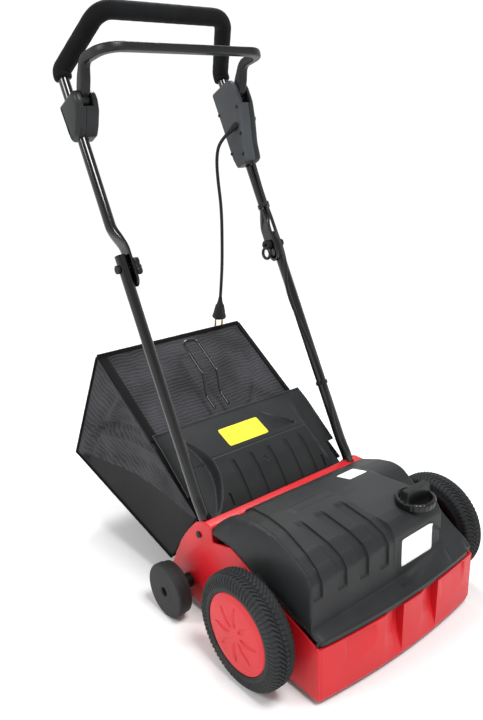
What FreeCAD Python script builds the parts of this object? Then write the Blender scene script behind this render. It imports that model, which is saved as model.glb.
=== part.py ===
import FreeCAD, Part
import math
import os

# Electric lawn dethatcher. Millimetres, +Z up, +X to the machine's left as its user walks behind it,
# +Y towards the user. Inside this file the front axle stands at y = 0; every node is written with
# y measured from the middle of the machine's length, on the ground.

V = FreeCAD.Vector
X_AXIS = V(1, 0, 0)
Y_AXIS = V(0, 1, 0)
Z_AXIS = V(0, 0, 1)
LEFT, RIGHT = -1, 1
os.makedirs("parts", exist_ok=True)

# ---------------------------------------------------------------- driving dimensions
body_half_width = 199.0         # outer faces of the deck's side walls
deck_wall = 5.0
cover_wall = 3.0
shell_bottom_z = 8.0
nose_corner_y = -118.0
nose_middle_y = -132.0
lip_bottom_z = 107.0
lip_top_z = 121.0
crossbar_front_y = 147.0
crossbar_back_y = 173.0
crossbar_top_z = 199.0
fit_gap = 0.05                  # running clearance of a shaft in a hole, per side
part_gap = 0.4                  # space between pieces that move past each other

front_wheel_radius = 100.0
front_wheel_width = 44.0
hub_cap_radius = 69.5
hub_cap_face_x = body_half_width + 69.5
front_axle_radius = 6.0
height_travel = 12.0

roller_radius = 52.5
roller_width = 30.0
roller_face_x = body_half_width + 58.5
roller_y = 222.0
roller_bolt_radius = 6.0
roller_recess_radius = 8.6

drum_y = 128.0
drum_z = 75.0
chamber_radius = 76.0
tine_tip_radius = 67.0
tine_radius = 1.8
tine_rows = 16
drum_shaft_radius = 10.0
bearing_radius = 20.0
belt_wall_x = -172.0
drum_pulley_radius = 32.0

motor_y = -10.0
motor_z = 178.0
motor_radius = 45.0
motor_shaft_radius = 8.0
motor_pulley_radius = 12.0
pulley_width = 11.0
pulley_x = -188.0
belt_thickness = 4.0

knob_x = 80.0
knob_y = -72.0
knob_radius = 37.0
knob_base_z = 236.0
knob_height = 32.0
spindle_radius = 6.0

tube_radius = 10.5
tube_wall = 1.5
tube_x = 186.5
foot_y = 181.0
foot_bottom_z = 150.0
tube_bend_y = 204.0
tube_bend_z = 228.0
handle_lean = math.radians(27.0)
fold_distance = 437.0           # along the lower tube, from its bend to the folding bolt
lower_tube_past_fold = 25.0
lug_thickness = 6.0
lug_half_width = 15.0
lug_below_fold = 37.0
lug_top = 45.0
full_tube_from = 72.0
fold_bolt_radius = 4.0
foam_radius = 17.0
handle_bend_at = 388.0          # along the upper tube, from the folding bolt
grip_corner = (140.0, 502.5, 1063.0)
grip_bend_radius = 38.0
leg_bend_radius = 30.0

bail_pivot = (310.0, 34.0)      # along the tube, and forward of it
bail_elbow = (364.0, 82.0)
bail_bar = (347.5, 149.5)
bail_radius = 9.0
bail_x = 181.5
bail_corner_radius = 42.0
bail_pin_radius = 3.0

box_inner_x = 160.0
box_outer_x = 205.0
box_split_x = 186.5
box_wall = 2.5
foam_start = 370.5
switch_box_top = 350.0
pivot_box_top = 328.0
switch_box_bottom = 178.0
pivot_box_bottom = 252.0
lock_button_radius = 7.0
lock_button_travel = 5.0

flap_half_width = 190.0
flap_thickness = 4.0
flap_hump_half_width = 112.0
flap_hinge_y = 180.0
flap_hinge_z = 186.0
hinge_half_length = 172.0
hinge_rod_radius = 2.5

bag_back_y = 652.0
bag_skin = 2.5
bag_wire_radius = 3.0

cord_radius = 3.5
pin_radius = 2.4
pin_length = 19.0
pin_spacing = 19.0

middle_y = (nose_middle_y + bag_back_y) / 2
axle_z = front_wheel_radius


# ---------------------------------------------------------------- small helpers
def export(name, *solids):
    """Write one node, moved so that y = 0 is the middle of the machine."""
    shape = solids[0] if len(solids) == 1 else Part.makeCompound(list(solids))
    shape = shape.copy()
    shape.translate(V(0, -middle_y, 0))
    shape.exportStep("parts/" + name + ".step")
    print(name, "solids", len(shape.Solids), "volume", round(shape.Volume / 1000, 1), "cm3")


def box(low, high):
    return Part.makeBox(high[0] - low[0], high[1] - low[1], high[2] - low[2], V(*low))


def rod_x(x_from, x_to, y, z, radius):
    """A cylinder along X."""
    low = min(x_from, x_to)
    return Part.makeCylinder(radius, abs(x_to - x_from), V(low, y, z), X_AXIS)


def ring_x(x_from, x_to, y, z, outer, inner):
    return rod_x(x_from, x_to, y, z, outer).cut(rod_x(x_from, x_to, y, z, inner))


def rod(start, end, radius):
    return Part.makeCylinder(radius, (end - start).Length, start, end - start)


def slab_x(outline, x_from, x_to):
    """A (y, z) outline extruded along X."""
    low, high = min(x_from, x_to), max(x_from, x_to)
    points = [V(low, y, z) for y, z in outline]
    return Part.Face(Part.makePolygon(points + points[:1])).extrude(V(high - low, 0, 0))


def offset_outline(outline, amount):
    """The same (y, z) outline, smaller by amount on every side."""
    points = [V(0, y, z) for y, z in outline]
    wire = Part.makePolygon(points + points[:1]).makeOffset2D(-amount, 2)
    ordered = Part.Wire(wire.Edges).OrderedVertexes
    return [(v.Point.y, v.Point.z) for v in ordered]


def both_sides(make):
    """Names and shapes of a left and right pair."""
    return [("left", make(LEFT)), ("right", make(RIGHT))]


def fused(shapes):
    shapes = list(shapes)
    return shapes[0].fuse(shapes[1:]).removeSplitter() if len(shapes) > 1 else shapes[0]


def smooth_path(points, radii):
    """Straight runs joined by tangent arcs, one radius for each inner point."""
    points = [V(*p) for p in points]
    edges = []
    start = points[0]
    for before, corner, after, radius in zip(points, points[1:], points[2:], radii):
        back = (before - corner).normalize()
        ahead = (after - corner).normalize()
        half_turn = (math.pi - back.getAngle(ahead)) / 2
        reach = radius * math.tan(half_turn)
        arc_start = corner + back * reach
        arc_end = corner + ahead * reach
        bisector = (back + ahead).normalize()
        centre = corner + bisector * (radius / math.cos(half_turn))
        arc_middle = centre - bisector * radius
        edges.append(Part.LineSegment(start, arc_start).toShape())
        edges.append(Part.Arc(arc_start, arc_middle, arc_end).toShape())
        start = arc_end
    edges.append(Part.LineSegment(start, points[-1]).toShape())
    return Part.Wire(edges)


def cord_radii(points):
    """The largest arc that the two runs at each inner point allow."""
    points = [V(*p) for p in points]
    radii = []
    for before, corner, after in zip(points, points[1:], points[2:]):
        back = before - corner
        ahead = after - corner
        half_turn = (math.pi - back.getAngle(ahead)) / 2
        radii.append(0.45 * min(back.Length, ahead.Length) / math.tan(half_turn))
    return radii


def sweep(path, radius):
    first = path.OrderedEdges[0]
    start = first.valueAt(first.FirstParameter)
    ahead = first.tangentAt(first.FirstParameter)
    section = Part.Wire(Part.Circle(start, ahead, radius).toShape())
    return path.makePipeShell([section], True, False)


def cord(name, points, radius):
    """A free or clipped lead. Prints its length, radii and a volume test."""
    radii = cord_radii(points)
    path = smooth_path(points, radii)
    solid = sweep(path, radius)
    expected = math.pi * radius ** 2 * path.Length
    print(name, "length", round(path.Length, 1), "radii", [round(r) for r in radii],
          "volume ratio", round(solid.Volume / expected, 4))
    return solid


lean_y = math.sin(handle_lean)
lean_z = math.cos(handle_lean)
fold_y = tube_bend_y + fold_distance * lean_y
fold_z = tube_bend_z + fold_distance * lean_z


def on_handle(x, along, forward):
    """A point on the handle: along its tube from the folding bolt, and forward of the tube."""
    y = fold_y + along * lean_y - forward * lean_z
    z = fold_z + along * lean_z + forward * lean_y
    return V(x, y, z)


def handle_outline(corners):
    """(along, forward) corners as a (y, z) outline."""
    return [(on_handle(0, a, f).y, on_handle(0, a, f).z) for a, f in corners]


def lower_tube_solid(side, radius):
    """The lower handle tube as a solid rod of the given radius."""
    x = side * tube_x
    points = [(x, foot_y, foot_bottom_z + 4), (x, foot_y, 192), (x, tube_bend_y, tube_bend_z),
              on_handle(x, lower_tube_past_fold, 0)]
    return sweep(smooth_path(points, [40, 60]), radius)


# ---------------------------------------------------------------- red deck
side_outline = [
    (nose_corner_y, shell_bottom_z), (nose_corner_y, lip_bottom_z - 1), (62, 171), (93, 183),
    (crossbar_front_y - 2, 167), (crossbar_front_y, crossbar_top_z), (crossbar_back_y, crossbar_top_z),
    (196, 187), (214, 169), (236, 142), (252, 112), (267, 84), (280, 57), (272, 34), (244, 16),
]
axle_slot_half = front_axle_radius + 0.6


def nose_wall():
    """The front wall, bowed forward in the middle."""
    outer = Part.Arc(V(-body_half_width, nose_corner_y, shell_bottom_z),
                     V(0, nose_middle_y, shell_bottom_z),
                     V(body_half_width, nose_corner_y, shell_bottom_z))
    inner = Part.Arc(V(body_half_width, nose_corner_y + deck_wall, shell_bottom_z),
                     V(0, nose_middle_y + deck_wall, shell_bottom_z),
                     V(-body_half_width, nose_corner_y + deck_wall, shell_bottom_z))
    ends = [Part.LineSegment(outer.EndPoint, inner.StartPoint),
            Part.LineSegment(inner.EndPoint, outer.StartPoint)]
    wire = Part.Wire([outer.toShape(), ends[0].toShape(), inner.toShape(), ends[1].toShape()])
    return Part.Face(wire).extrude(V(0, 0, lip_bottom_z - shell_bottom_z))


def tine_chamber():
    """The arched roof over the tine drum, open to the lawn below and to the bag behind."""
    inner_x = body_half_width - deck_wall
    arch = ring_x(belt_wall_x, inner_x, drum_y, drum_z, chamber_radius + 4, chamber_radius)
    throat = slab_x([(drum_y, drum_z), (260, 160), (260, -20), (60, -20), (60, 2)], belt_wall_x, inner_x)
    front_foot = slab_x([(62, 20), (84, shell_bottom_z), (44, shell_bottom_z), (48, 30)], belt_wall_x, inner_x)
    roof = slab_x([(178, 135), (183, 131), (196, 166), (190, 168)], belt_wall_x, inner_x)
    arch_cut = arch.cut(throat)
    return fused([arch_cut, front_foot.cut(rod_x(-200, 200, drum_y, drum_z, chamber_radius)), roof])


def crossbar():
    """The hollow bar across the back of the deck, which carries the handle and the flap."""
    outline = [(crossbar_front_y, 163), (crossbar_front_y, crossbar_top_z),
               (crossbar_back_y, crossbar_top_z), (crossbar_back_y, 178),
               (192, 160), (186, 146), (crossbar_front_y + 8, 150)]
    outer = slab_x(outline, -body_half_width, body_half_width)
    inner_half = body_half_width - deck_wall
    return outer.cut(slab_x(offset_outline(outline, 3.5), -inner_half, inner_half))


def deck():
    inner_half = body_half_width - deck_wall
    sides = [slab_x(side_outline, s * inner_half, s * body_half_width) for s in (LEFT, RIGHT)]
    tray = box((-inner_half, nose_corner_y + deck_wall - 2, 80), (inner_half, 52, 84))
    belt_wall = slab_x([(44, shell_bottom_z), (44, 120), (90, 158), (150, 155), (196, 166), (212, 100),
                        (190, shell_bottom_z)], belt_wall_x, belt_wall_x + 4)
    seat = bearing_radius + 5
    bosses = [rod_x(belt_wall_x, -160, drum_y, drum_z, seat),
              rod_x(180, inner_half + 1, drum_y, drum_z, seat)]
    socket_wall, socket_outer_x = 3.0, tube_x + 11.5
    socket_x = socket_outer_x - tube_radius - socket_wall
    sockets = [Part.makeCylinder(tube_radius + socket_wall, crossbar_top_z - foot_bottom_z,
                                 V(s * socket_x, foot_y, foot_bottom_z)) for s in (LEFT, RIGHT)]
    shell = fused(sides + [nose_wall(), tray, tine_chamber(), crossbar(), belt_wall] + bosses + sockets)
    tools = [rod_x(-180, 190, drum_y, drum_z, bearing_radius)]
    for side in (LEFT, RIGHT):
        outside = side * (body_half_width + 8)
        inside = side * (body_half_width - 20)
        tools.append(lower_tube_solid(side, tube_radius))
        slot = slab_x([(-axle_slot_half, axle_z - axle_slot_half),
                       (axle_slot_half, axle_z - axle_slot_half),
                       (axle_slot_half, axle_z + height_travel + axle_slot_half),
                       (-axle_slot_half, axle_z + height_travel + axle_slot_half)], inside, outside)
        tools.append(slot)
        tools.append(rod_x(inside, outside, roller_y, roller_radius, roller_bolt_radius))
        tools.append(rod_x(side * (tube_x - 14), outside, foot_y + 3, 168, 3.0))
    flap_space = slab_x([(crossbar_back_y + 1, 240), (crossbar_back_y + 1, 179), (191, 179), (230, 190),
                         (230, 240)], -hinge_half_length, hinge_half_length)
    shell = fused([shell.cut(flap_space)] + [
        rod_x(side * (hinge_half_length - 4), side * hinge_half_length, flap_hinge_y, flap_hinge_z, 7)
        for side in (LEFT, RIGHT)])
    tools.append(rod_x(-hinge_half_length, hinge_half_length, flap_hinge_y, flap_hinge_z,
                       hinge_rod_radius))
    for tool in tools:
        shell = shell.cut(tool)
    return shell


red_deck = deck()
export("red_deck", red_deck)

# ---------------------------------------------------------------- black top cover
cover_foot = [(crossbar_front_y - 0.2, 169), (93, 185), (62, 173), (-112, lip_bottom_z)]
mound_outline = [(-100, 112), (-100, 190), (-97, 206), (-86, 222), (-55, 233), (5, 242), (60, 236),
                 (117, 224), (crossbar_front_y - 0.2, 204)] + cover_foot[:3]
knob_outline = [(-100, 112), (-100, 206), (-95, 224), (-84, 235), (-20, 235), (65, 227), (127, 214),
                (crossbar_front_y - 0.2, 203)] + cover_foot[:3]
slope_outline = [(-112, 112), (-112, 126), (-49, 168), (-30, 187), (17, 202), (42, 223), (65, 226),
                 (94, 221), (127, 213), (crossbar_front_y - 0.2, 202)] + cover_foot[:3]
mound_split_x = -5.0
knob_split_x = 127.0
cover_half_width = body_half_width - 1
flute_edges_x = (-172.0, -118.0, -67.0, -18.0)
flute_width = 20.0
flute_depth = 4.0


def cover_volume(inset):
    """The cover's outer form, or the form of its hollow when inset is its wall."""
    spans = [(mound_outline, -cover_half_width + inset, mound_split_x),
             (knob_outline, mound_split_x, knob_split_x - inset),
             (slope_outline, knob_split_x - inset, cover_half_width - inset)]
    parts = []
    for outline, x_from, x_to in spans:
        shape = offset_outline(outline, inset) if inset else outline
        parts.append(slab_x(shape, x_from, x_to))
    return fused(parts)


def side_cut(inset):
    """Room taken off the cover's two upper side edges, which lean inwards."""
    wide = cover_half_width - inset
    left = [(-wide - 40, 300), (-wide - 40, 150), (-wide, 150), (-wide, 188), (-wide + 22, 238),
            (-wide + 34, 300)]
    right = [(wide + 40, 300), (wide + 40, 205), (wide, 205), (wide - 12, 235), (wide - 24, 300)]
    cuts = []
    for outline in (left, right):
        points = [V(x, -200, z) for x, z in outline]
        cuts.append(Part.Face(Part.makePolygon(points + points[:1])).extrude(V(0, 500, 0)))
    return cuts


def lip():
    """The ledge round the cover's front, bowed like the nose."""
    front = Part.Arc(V(-cover_half_width, nose_corner_y + 2, lip_bottom_z),
                     V(0, nose_middle_y + 3, lip_bottom_z),
                     V(cover_half_width, nose_corner_y + 2, lip_bottom_z))
    back_left = V(-cover_half_width, -60, lip_bottom_z)
    back_right = V(cover_half_width, -60, lip_bottom_z)
    edges = [front.toShape(), Part.LineSegment(front.EndPoint, back_right).toShape(),
             Part.LineSegment(back_right, back_left).toShape(),
             Part.LineSegment(back_left, front.StartPoint).toShape()]
    return Part.Face(Part.Wire(edges)).extrude(V(0, 0, lip_top_z - lip_bottom_z))


def flute(edge, margin):
    """A shallow channel pressed into the mound, from its top down its front. margin deepens it."""
    sunk = flute_depth + margin
    top = [(5 + margin, 242 - sunk), (-55, 233 - sunk), (-86 + sunk * 0.6, 222 - sunk), (-97 + sunk, 206),
           (-100 + sunk, 190), (-100 + sunk, 178 - margin)]
    outline = [(5 + margin, 270)] + top + [(-130, 178 - margin), (-130, 270)]
    return slab_x(outline, edge - flute_width - margin, edge + margin)


def motor_cover():
    outer = cover_volume(0)
    for cut in side_cut(0):
        outer = outer.cut(cut)
    outer = fused([outer, lip()])
    hollow = cover_volume(cover_wall)
    for cut in side_cut(cover_wall):
        hollow = hollow.cut(cut)
    for edge in flute_edges_x:
        outer = outer.cut(flute(edge, 0))
        hollow = hollow.cut(flute(edge, cover_wall))
    below = hollow.copy()
    below.translate(V(0, 0, -36))
    shell = outer.cut(hollow).cut(below)
    under_deck = slab_x([(-160, 60), (-160, lip_bottom_z), (-112, lip_bottom_z), (62, 172), (93, 184),
                         (crossbar_front_y, 168), (crossbar_front_y, 60)], -260, 260)
    shell = shell.cut(under_deck)
    shell = shell.cut(Part.makeCylinder(spindle_radius + part_gap, 80, V(knob_x, knob_y, 190)))
    return max(shell.cut(red_deck).Solids, key=lambda solid: solid.Volume)


export("motor_cover", motor_cover())

cover_screw_places = [(-150, -108), (-60, -114), (20, -115), (110, -112)]


def cover_screw(x, y):
    head = Part.makeCylinder(5, 2.5, V(x, y, lip_top_z))
    return head.cut(Part.makeCylinder(2, 1.5, V(x, y, lip_top_z + 1)))


export("blank_labels", box((18, -102, 150), (98, -100.6, 198)).cut(box((40, -110, 40), (41, -90, 41))),
       slab_x([(70, 226.3), (108, 218.0), (108, 218.8), (70, 227.1)], 72, 122))

# ---------------------------------------------------------------- motor, belt and tine drum
motor_left_x, motor_right_x = -160.0, -30.0


def motor_housing():
    can = ring_x(motor_left_x, motor_right_x, motor_y, motor_z, motor_radius, motor_radius - 4)
    ends = [ring_x(x, x + 5, motor_y, motor_z, motor_radius - 4, motor_shaft_radius + fit_gap)
            for x in (motor_left_x, motor_right_x - 5)]
    return fused([can] + ends)


def motor_brackets():
    brackets = []
    for x in (-145, -55):
        plate = box((x, motor_y - 42, 84), (x + 8, motor_y + 42, motor_z - 22))
        plate = plate.cut(rod_x(x - 1, x + 9, motor_y, motor_z, motor_radius))
        plate = plate.cut(box((x - 1, -12, 83), (x + 9, 12, axle_z + height_travel + 14)))
        brackets.append(plate)
    return brackets


def pulley(y, z, radius, bore):
    return ring_x(pulley_x, pulley_x + pulley_width, y, z, radius, bore)


def armature():
    shaft = rod_x(pulley_x - 2, motor_right_x + 3, motor_y, motor_z, motor_shaft_radius)
    return fused([shaft, rod_x(-140, -75, motor_y, motor_z, 32)])


def fan():
    hub = ring_x(-62, -50, motor_y, motor_z, 14, motor_shaft_radius)
    blades = []
    for index in range(8):
        blade = box((-62, motor_y - 1, motor_z + 12), (-50, motor_y + 1, motor_z + 37))
        blade.rotate(V(0, motor_y, motor_z), X_AXIS, index * 45)
        blades.append(blade)
    return fused([hub] + blades)


def belt_loop(inset):
    """The area inside an open belt round the two pulleys."""
    small = motor_pulley_radius + inset
    large = drum_pulley_radius + inset
    dy = drum_y - motor_y
    dz = drum_z - motor_z
    distance = math.hypot(dy, dz)
    heading = math.atan2(dz, dy)
    spread = math.acos((small - large) / distance)
    corners = []
    for sign in (1, -1):
        angle = heading + sign * spread
        corners.append(((motor_y + small * math.cos(angle), motor_z + small * math.sin(angle)),
                        (drum_y + large * math.cos(angle), drum_z + large * math.sin(angle))))
    outline = [corners[0][0], corners[0][1], corners[1][1], corners[1][0]]
    low, high = pulley_x + 1, pulley_x + pulley_width - 1
    return fused([slab_x(outline, low, high), rod_x(low, high, motor_y, motor_z, small),
                  rod_x(low, high, drum_y, drum_z, large)])


export("motor_housing", motor_housing())
export("motor_brackets", *motor_brackets())
export("motor_armature", armature())
export("motor_fan", fan())
export("motor_pulley", pulley(motor_y, motor_z, motor_pulley_radius, motor_shaft_radius))
export("drive_belt", belt_loop(0.3 + belt_thickness).cut(belt_loop(0.3)))
export("drum_pulley", pulley(drum_y, drum_z, drum_pulley_radius, drum_shaft_radius))
export("drum_shaft", rod_x(pulley_x - 2, 189, drum_y, drum_z, drum_shaft_radius))


def drum_bearing(x_from, x_to):
    return ring_x(x_from, x_to, drum_y, drum_z, bearing_radius, drum_shaft_radius + fit_gap)


export("drum_bearings", drum_bearing(belt_wall_x, -161), drum_bearing(180, 190))


def tine_set(x, angle):
    """One clamp ring on the drum with two opposite spring-steel tines, bent back at their tips."""
    bend = 44.0
    hook = 9.0
    clamp = ring_x(x - 4, x + 4, drum_y, drum_z, 18, drum_shaft_radius)
    tip_z = drum_z + math.sqrt((tine_tip_radius - 1) ** 2 - hook ** 2)
    tine = sweep(smooth_path([(x, drum_y, drum_z + 14), (x, drum_y, drum_z + bend),
                              (x, drum_y + hook, tip_z)], [14]), tine_radius)
    opposite = tine.copy()
    opposite.rotate(V(x, drum_y, drum_z), X_AXIS, 180)
    both = fused([clamp, tine, opposite])
    both.rotate(V(x, drum_y, drum_z), X_AXIS, angle)
    return both


tine_first_x, tine_last_x = -148.0, 168.0
tine_step = (tine_last_x - tine_first_x) / (tine_rows - 1)
export("spring_tines", *[tine_set(tine_first_x + i * tine_step, 20 + i * 56) for i in range(tine_rows)])
spacers = [ring_x(tine_first_x + i * tine_step + 4.2, tine_first_x + (i + 1) * tine_step - 4.2,
                  drum_y, drum_z, 14, drum_shaft_radius) for i in range(tine_rows - 1)]
export("drum_spacers", *spacers)

# ---------------------------------------------------------------- front axle and depth setting
axle_end_x = hub_cap_face_x - 10.5
clip_thickness = 1.5
yoke_low_z = axle_z - 8


def front_axle():
    return rod_x(-axle_end_x, axle_end_x, 0, axle_z, front_axle_radius)


def lift_yoke():
    """The block that hangs the axle on the threaded spindle."""
    block = box((knob_x - 12, knob_y - 12, yoke_low_z), (knob_x + 12, 11, axle_z + 8))
    block = block.cut(rod_x(knob_x - 20, knob_x + 20, 0, axle_z, front_axle_radius))
    return block.cut(Part.makeCylinder(spindle_radius + fit_gap, 60, V(knob_x, knob_y, yoke_low_z - 20)))


def axle_clips():
    clips = []
    for side in (LEFT, RIGHT):
        for x in (body_half_width + 14, axle_end_x - 4):
            clips.append(ring_x(side * x, side * (x + clip_thickness), 0, axle_z, 11, front_axle_radius))
    return clips


export("front_axle", front_axle())
export("lift_yoke", lift_yoke())
export("axle_clips", *axle_clips())


def depth_knob():
    """A round knob with a raised finger bar across it."""
    base_z = knob_base_z + part_gap
    body = Part.makeCylinder(knob_radius, knob_height * 0.45, V(knob_x, knob_y, base_z))
    body = body.makeFillet(3, [e for e in body.Edges if e.Curve.TypeId == "Part::GeomCircle"][:1])
    bar = box((knob_x - knob_radius + 5, knob_y - 8, base_z + 5),
              (knob_x + knob_radius - 5, knob_y + 8, base_z + knob_height))
    limit = Part.makeCylinder(knob_radius - 3, knob_height, V(knob_x, knob_y, base_z))
    return fused([body, bar.common(limit)])


export("depth_knob", depth_knob())
export("knob_spindle", Part.makeCylinder(spindle_radius, knob_base_z + part_gap - 86,
                                         V(knob_x, knob_y, 86)))

# ---------------------------------------------------------------- front wheels
wheel_inner_x = hub_cap_face_x - 2 - front_wheel_width


def turned_x(side, outline, y, z):
    """A ring turned about an X axis from an outline of (x, radius) points."""
    points = [V(side * x, y, z + r) for x, r in outline]
    face = Part.Face(Part.makePolygon(points + points[:1]))
    return face.revolve(V(0, y, z), X_AXIS, 360)


def front_tyre(side):
    low, high = wheel_inner_x, wheel_inner_x + front_wheel_width
    outline = [(low, 71.5), (low, 91), (low + 3, 96.5), (low + 9, front_wheel_radius),
               (high - 9, front_wheel_radius), (high - 3, 96.5), (high, 91), (high, 71.5)]
    return turned_x(side, outline, 0, axle_z)


def front_rim(side):
    low, high = wheel_inner_x + 1, hub_cap_face_x - 9
    bore = front_axle_radius + fit_gap
    hub_low = body_half_width + 16
    outline = [(hub_low, bore), (hub_low, 16), (low + 14, 16), (low + 14, 64), (low, 64), (low, 71.5),
               (high + 6, 71.5), (high + 6, 70.2), (high, 70.2), (high, 64), (low + 20, 64),
               (low + 20, 18), (high - 6, 18), (high - 6, bore)]
    return turned_x(side, outline, 0, axle_z)


def hub_cap(side):
    face = hub_cap_face_x
    low = face - 8.5
    outer = [(low, 0), (face, 0), (face, 40), (face - 1.5, 60), (face - 4, hub_cap_radius),
             (low, hub_cap_radius)]
    inner = [(low, 0), (face - 4, 0), (face - 4, 56), (face - 6, 65), (low, 65)]
    return turned_x(side, outer, 0, axle_z).cut(turned_x(side, inner, 0, axle_z))


for word, shape in both_sides(front_tyre):
    export("front_tyre_" + word, shape)
for word, shape in both_sides(front_rim):
    export("front_rim_" + word, shape)
for word, shape in both_sides(hub_cap):
    export("hub_cap_" + word, shape)


# ---------------------------------------------------------------- rear rollers
roller_inner_x = roller_face_x - roller_width
recess_depth = 12.0


def rear_roller(side):
    bore = roller_bolt_radius + fit_gap
    low, high = roller_inner_x, roller_face_x
    outline = [(low, bore), (low, roller_radius - 3), (low + 3, roller_radius), (high - 3, roller_radius),
               (high, roller_radius - 3), (high, roller_recess_radius),
               (high - recess_depth, roller_recess_radius), (high - recess_depth, bore)]
    return turned_x(side, outline, roller_y, roller_radius)


def roller_bolt(side):
    """A shoulder bolt: the roller turns on its shank, and its head sits in the roller's recess."""
    head_x = roller_face_x - recess_depth + part_gap
    shank = rod_x(side * (body_half_width - 18), side * head_x, roller_y, roller_radius,
                  roller_bolt_radius)
    head = rod_x(side * head_x, side * (head_x + 4), roller_y, roller_radius, roller_recess_radius - 0.6)
    socket = rod_x(side * (head_x + 1.5), side * (head_x + 5), roller_y, roller_radius, 3)
    collar = ring_x(side * body_half_width, side * (roller_inner_x - part_gap), roller_y, roller_radius,
                    14, roller_bolt_radius - 0.01)
    return fused([shank, head, collar]).cut(socket)


for word, shape in both_sides(rear_roller):
    export("rear_roller_" + word, shape)
export("roller_bolts", roller_bolt(LEFT), roller_bolt(RIGHT))

# ---------------------------------------------------------------- rear flap
flap_edge_line = [(184, 186), (193, 190.5), (228, 219.7), (309, 286), (338, 305)]
flap_hump_line = [(184, 186), (197, 207), (222, 239), (249, 262), (289, 281), (338, 305)]


def plate_x(line, thickness, x_from, x_to):
    """A plate that follows a (y, z) line, which is its top."""
    below = [(y + 0.55 * thickness, z - 0.9 * thickness) for y, z in line]
    return slab_x(line + below[::-1], x_from, x_to)


def rear_flap():
    hump = plate_x(flap_hump_line, flap_thickness, -flap_hump_half_width, flap_hump_half_width)
    knuckle_half = hinge_half_length - 4 - part_gap
    sides = [plate_x(flap_edge_line, flap_thickness, s * flap_hump_half_width, s * knuckle_half)
             for s in (LEFT, RIGHT)]
    sides += [plate_x(flap_edge_line[2:], flap_thickness, s * knuckle_half, s * flap_half_width)
              for s in (LEFT, RIGHT)]
    web = flap_hump_line + [(y + 2, z - 3) for y, z in flap_edge_line[::-1]]
    webs = [slab_x(web, s * flap_hump_half_width, s * (flap_hump_half_width + 3)) for s in (LEFT, RIGHT)]
    knuckle = rod_x(-knuckle_half, knuckle_half, flap_hinge_y, flap_hinge_z, 5)
    flap = fused([hump, knuckle] + sides + webs)
    return flap.cut(rod_x(-flap_half_width, flap_half_width, flap_hinge_y, flap_hinge_z,
                          hinge_rod_radius + fit_gap))


export("rear_flap", rear_flap())
export("flap_hinge_rod", rod_x(-hinge_half_length, hinge_half_length, flap_hinge_y, flap_hinge_z,
                               hinge_rod_radius))
label_low, label_high = (251, 263.5), (287, 280.6)
export("flap_label", slab_x([label_low, label_high, (label_high[0] - 0.3, label_high[1] + 0.8),
                             (label_low[0] - 0.3, label_low[1] + 0.8)], -60, 40))

# ---------------------------------------------------------------- catcher bag
mouth_corners = [(185, 208, 184), (-185, 208, 184), (-190, 294, 61), (190, 294, 61)]
back_corners = [(186, 540, 412), (-186, 540, 412), (-200, bag_back_y, 162), (200, bag_back_y, 162)]


def four_sided(corners):
    points = [V(*c) for c in corners]
    return Part.makePolygon(points + points[:1])


def pulled_in(corners, amount):
    """Four corners moved in by amount, across and down the face that they stand on."""
    down = (V(*corners[2]) - V(*corners[1])).normalize()
    moved = []
    for (x, y, z), sign in zip(corners, (1, 1, -1, -1)):
        inward = -amount if x > 0 else amount
        moved.append(V(x + inward, y, z) + down * (sign * amount))
    return moved


def catcher_bag():
    outer = Part.makeLoft([four_sided(mouth_corners), four_sided(back_corners)], True, True)
    near = pulled_in(mouth_corners, bag_skin)
    far = [corner + V(0, -0.916, -0.4) * bag_skin for corner in pulled_in(back_corners, bag_skin)]
    beyond = [corner + V(0, -14, -9) for corner in near]
    inner = Part.makeLoft([four_sided(near), four_sided(far)], True, True)
    mouth = Part.makeLoft([four_sided(beyond), four_sided(near)], True, True)
    return outer.cut(inner).cut(mouth)


def bag_frame():
    """Welded wire: a loop round the mouth, two rails along the top and a loop at the back."""
    inset = bag_skin + bag_wire_radius + 3
    near = [corner + V(0, 5, 3) for corner in pulled_in(mouth_corners, inset)]
    far = [corner + V(0, -0.916, -0.4) * inset for corner in pulled_in(back_corners, inset)]
    pairs = [(loop[i], loop[(i + 1) % 4]) for loop in (near, far) for i in range(4)]
    pairs += [(near[0], far[0]), (near[1], far[1])]
    wires = [rod(a, b, bag_wire_radius) for a, b in pairs]
    joints = [Part.makeSphere(bag_wire_radius, point) for point in near + far]
    return fused(wires + joints)


carry_half_width = 18.0
carry_line = [(366, 306.5), (394, 325), (403, 371), (475, 424)]


def carry_handle():
    left = [(-carry_half_width, y, z) for y, z in carry_line]
    right = [(carry_half_width, y, z) for y, z in carry_line[::-1]]
    return sweep(smooth_path(left + right, [14, 14, 12, 12, 14, 14]), bag_wire_radius)


export("catcher_bag", catcher_bag())
export("bag_frame", bag_frame())
export("bag_carry_handle", carry_handle())


# ---------------------------------------------------------------- lower handle tubes
def lower_tube(side):
    x = side * tube_x
    hollow = lower_tube_solid(side, tube_radius).cut(lower_tube_solid(side, tube_radius - tube_wall))
    hole = rod_x(x - 20, x + 20, fold_y, fold_z, fold_bolt_radius)
    screw = rod_x(x - 20, x + 20, foot_y + 3, 168, 3.0)
    return hollow.cut(hole).cut(screw)


for word, shape in both_sides(lower_tube):
    export("lower_tube_" + word, shape)


def foot_screw(side):
    shank = rod_x(side * (tube_x - 13), side * (body_half_width + 0.5), foot_y + 3, 168, 3.0)
    head = rod_x(side * (body_half_width + 0.5), side * (body_half_width + 3), foot_y + 3, 168, 6.0)
    return fused([shank, head])


export("deck_screws", foot_screw(LEFT), foot_screw(RIGHT),
       *[cover_screw(x, y) for x, y in cover_screw_places])

# ---------------------------------------------------------------- folding upper handle
lug_outer_x = tube_x - tube_radius - 1.0
lug_inner_x = lug_outer_x - lug_thickness
bend_point = on_handle(tube_x, handle_bend_at, 0)


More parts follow.
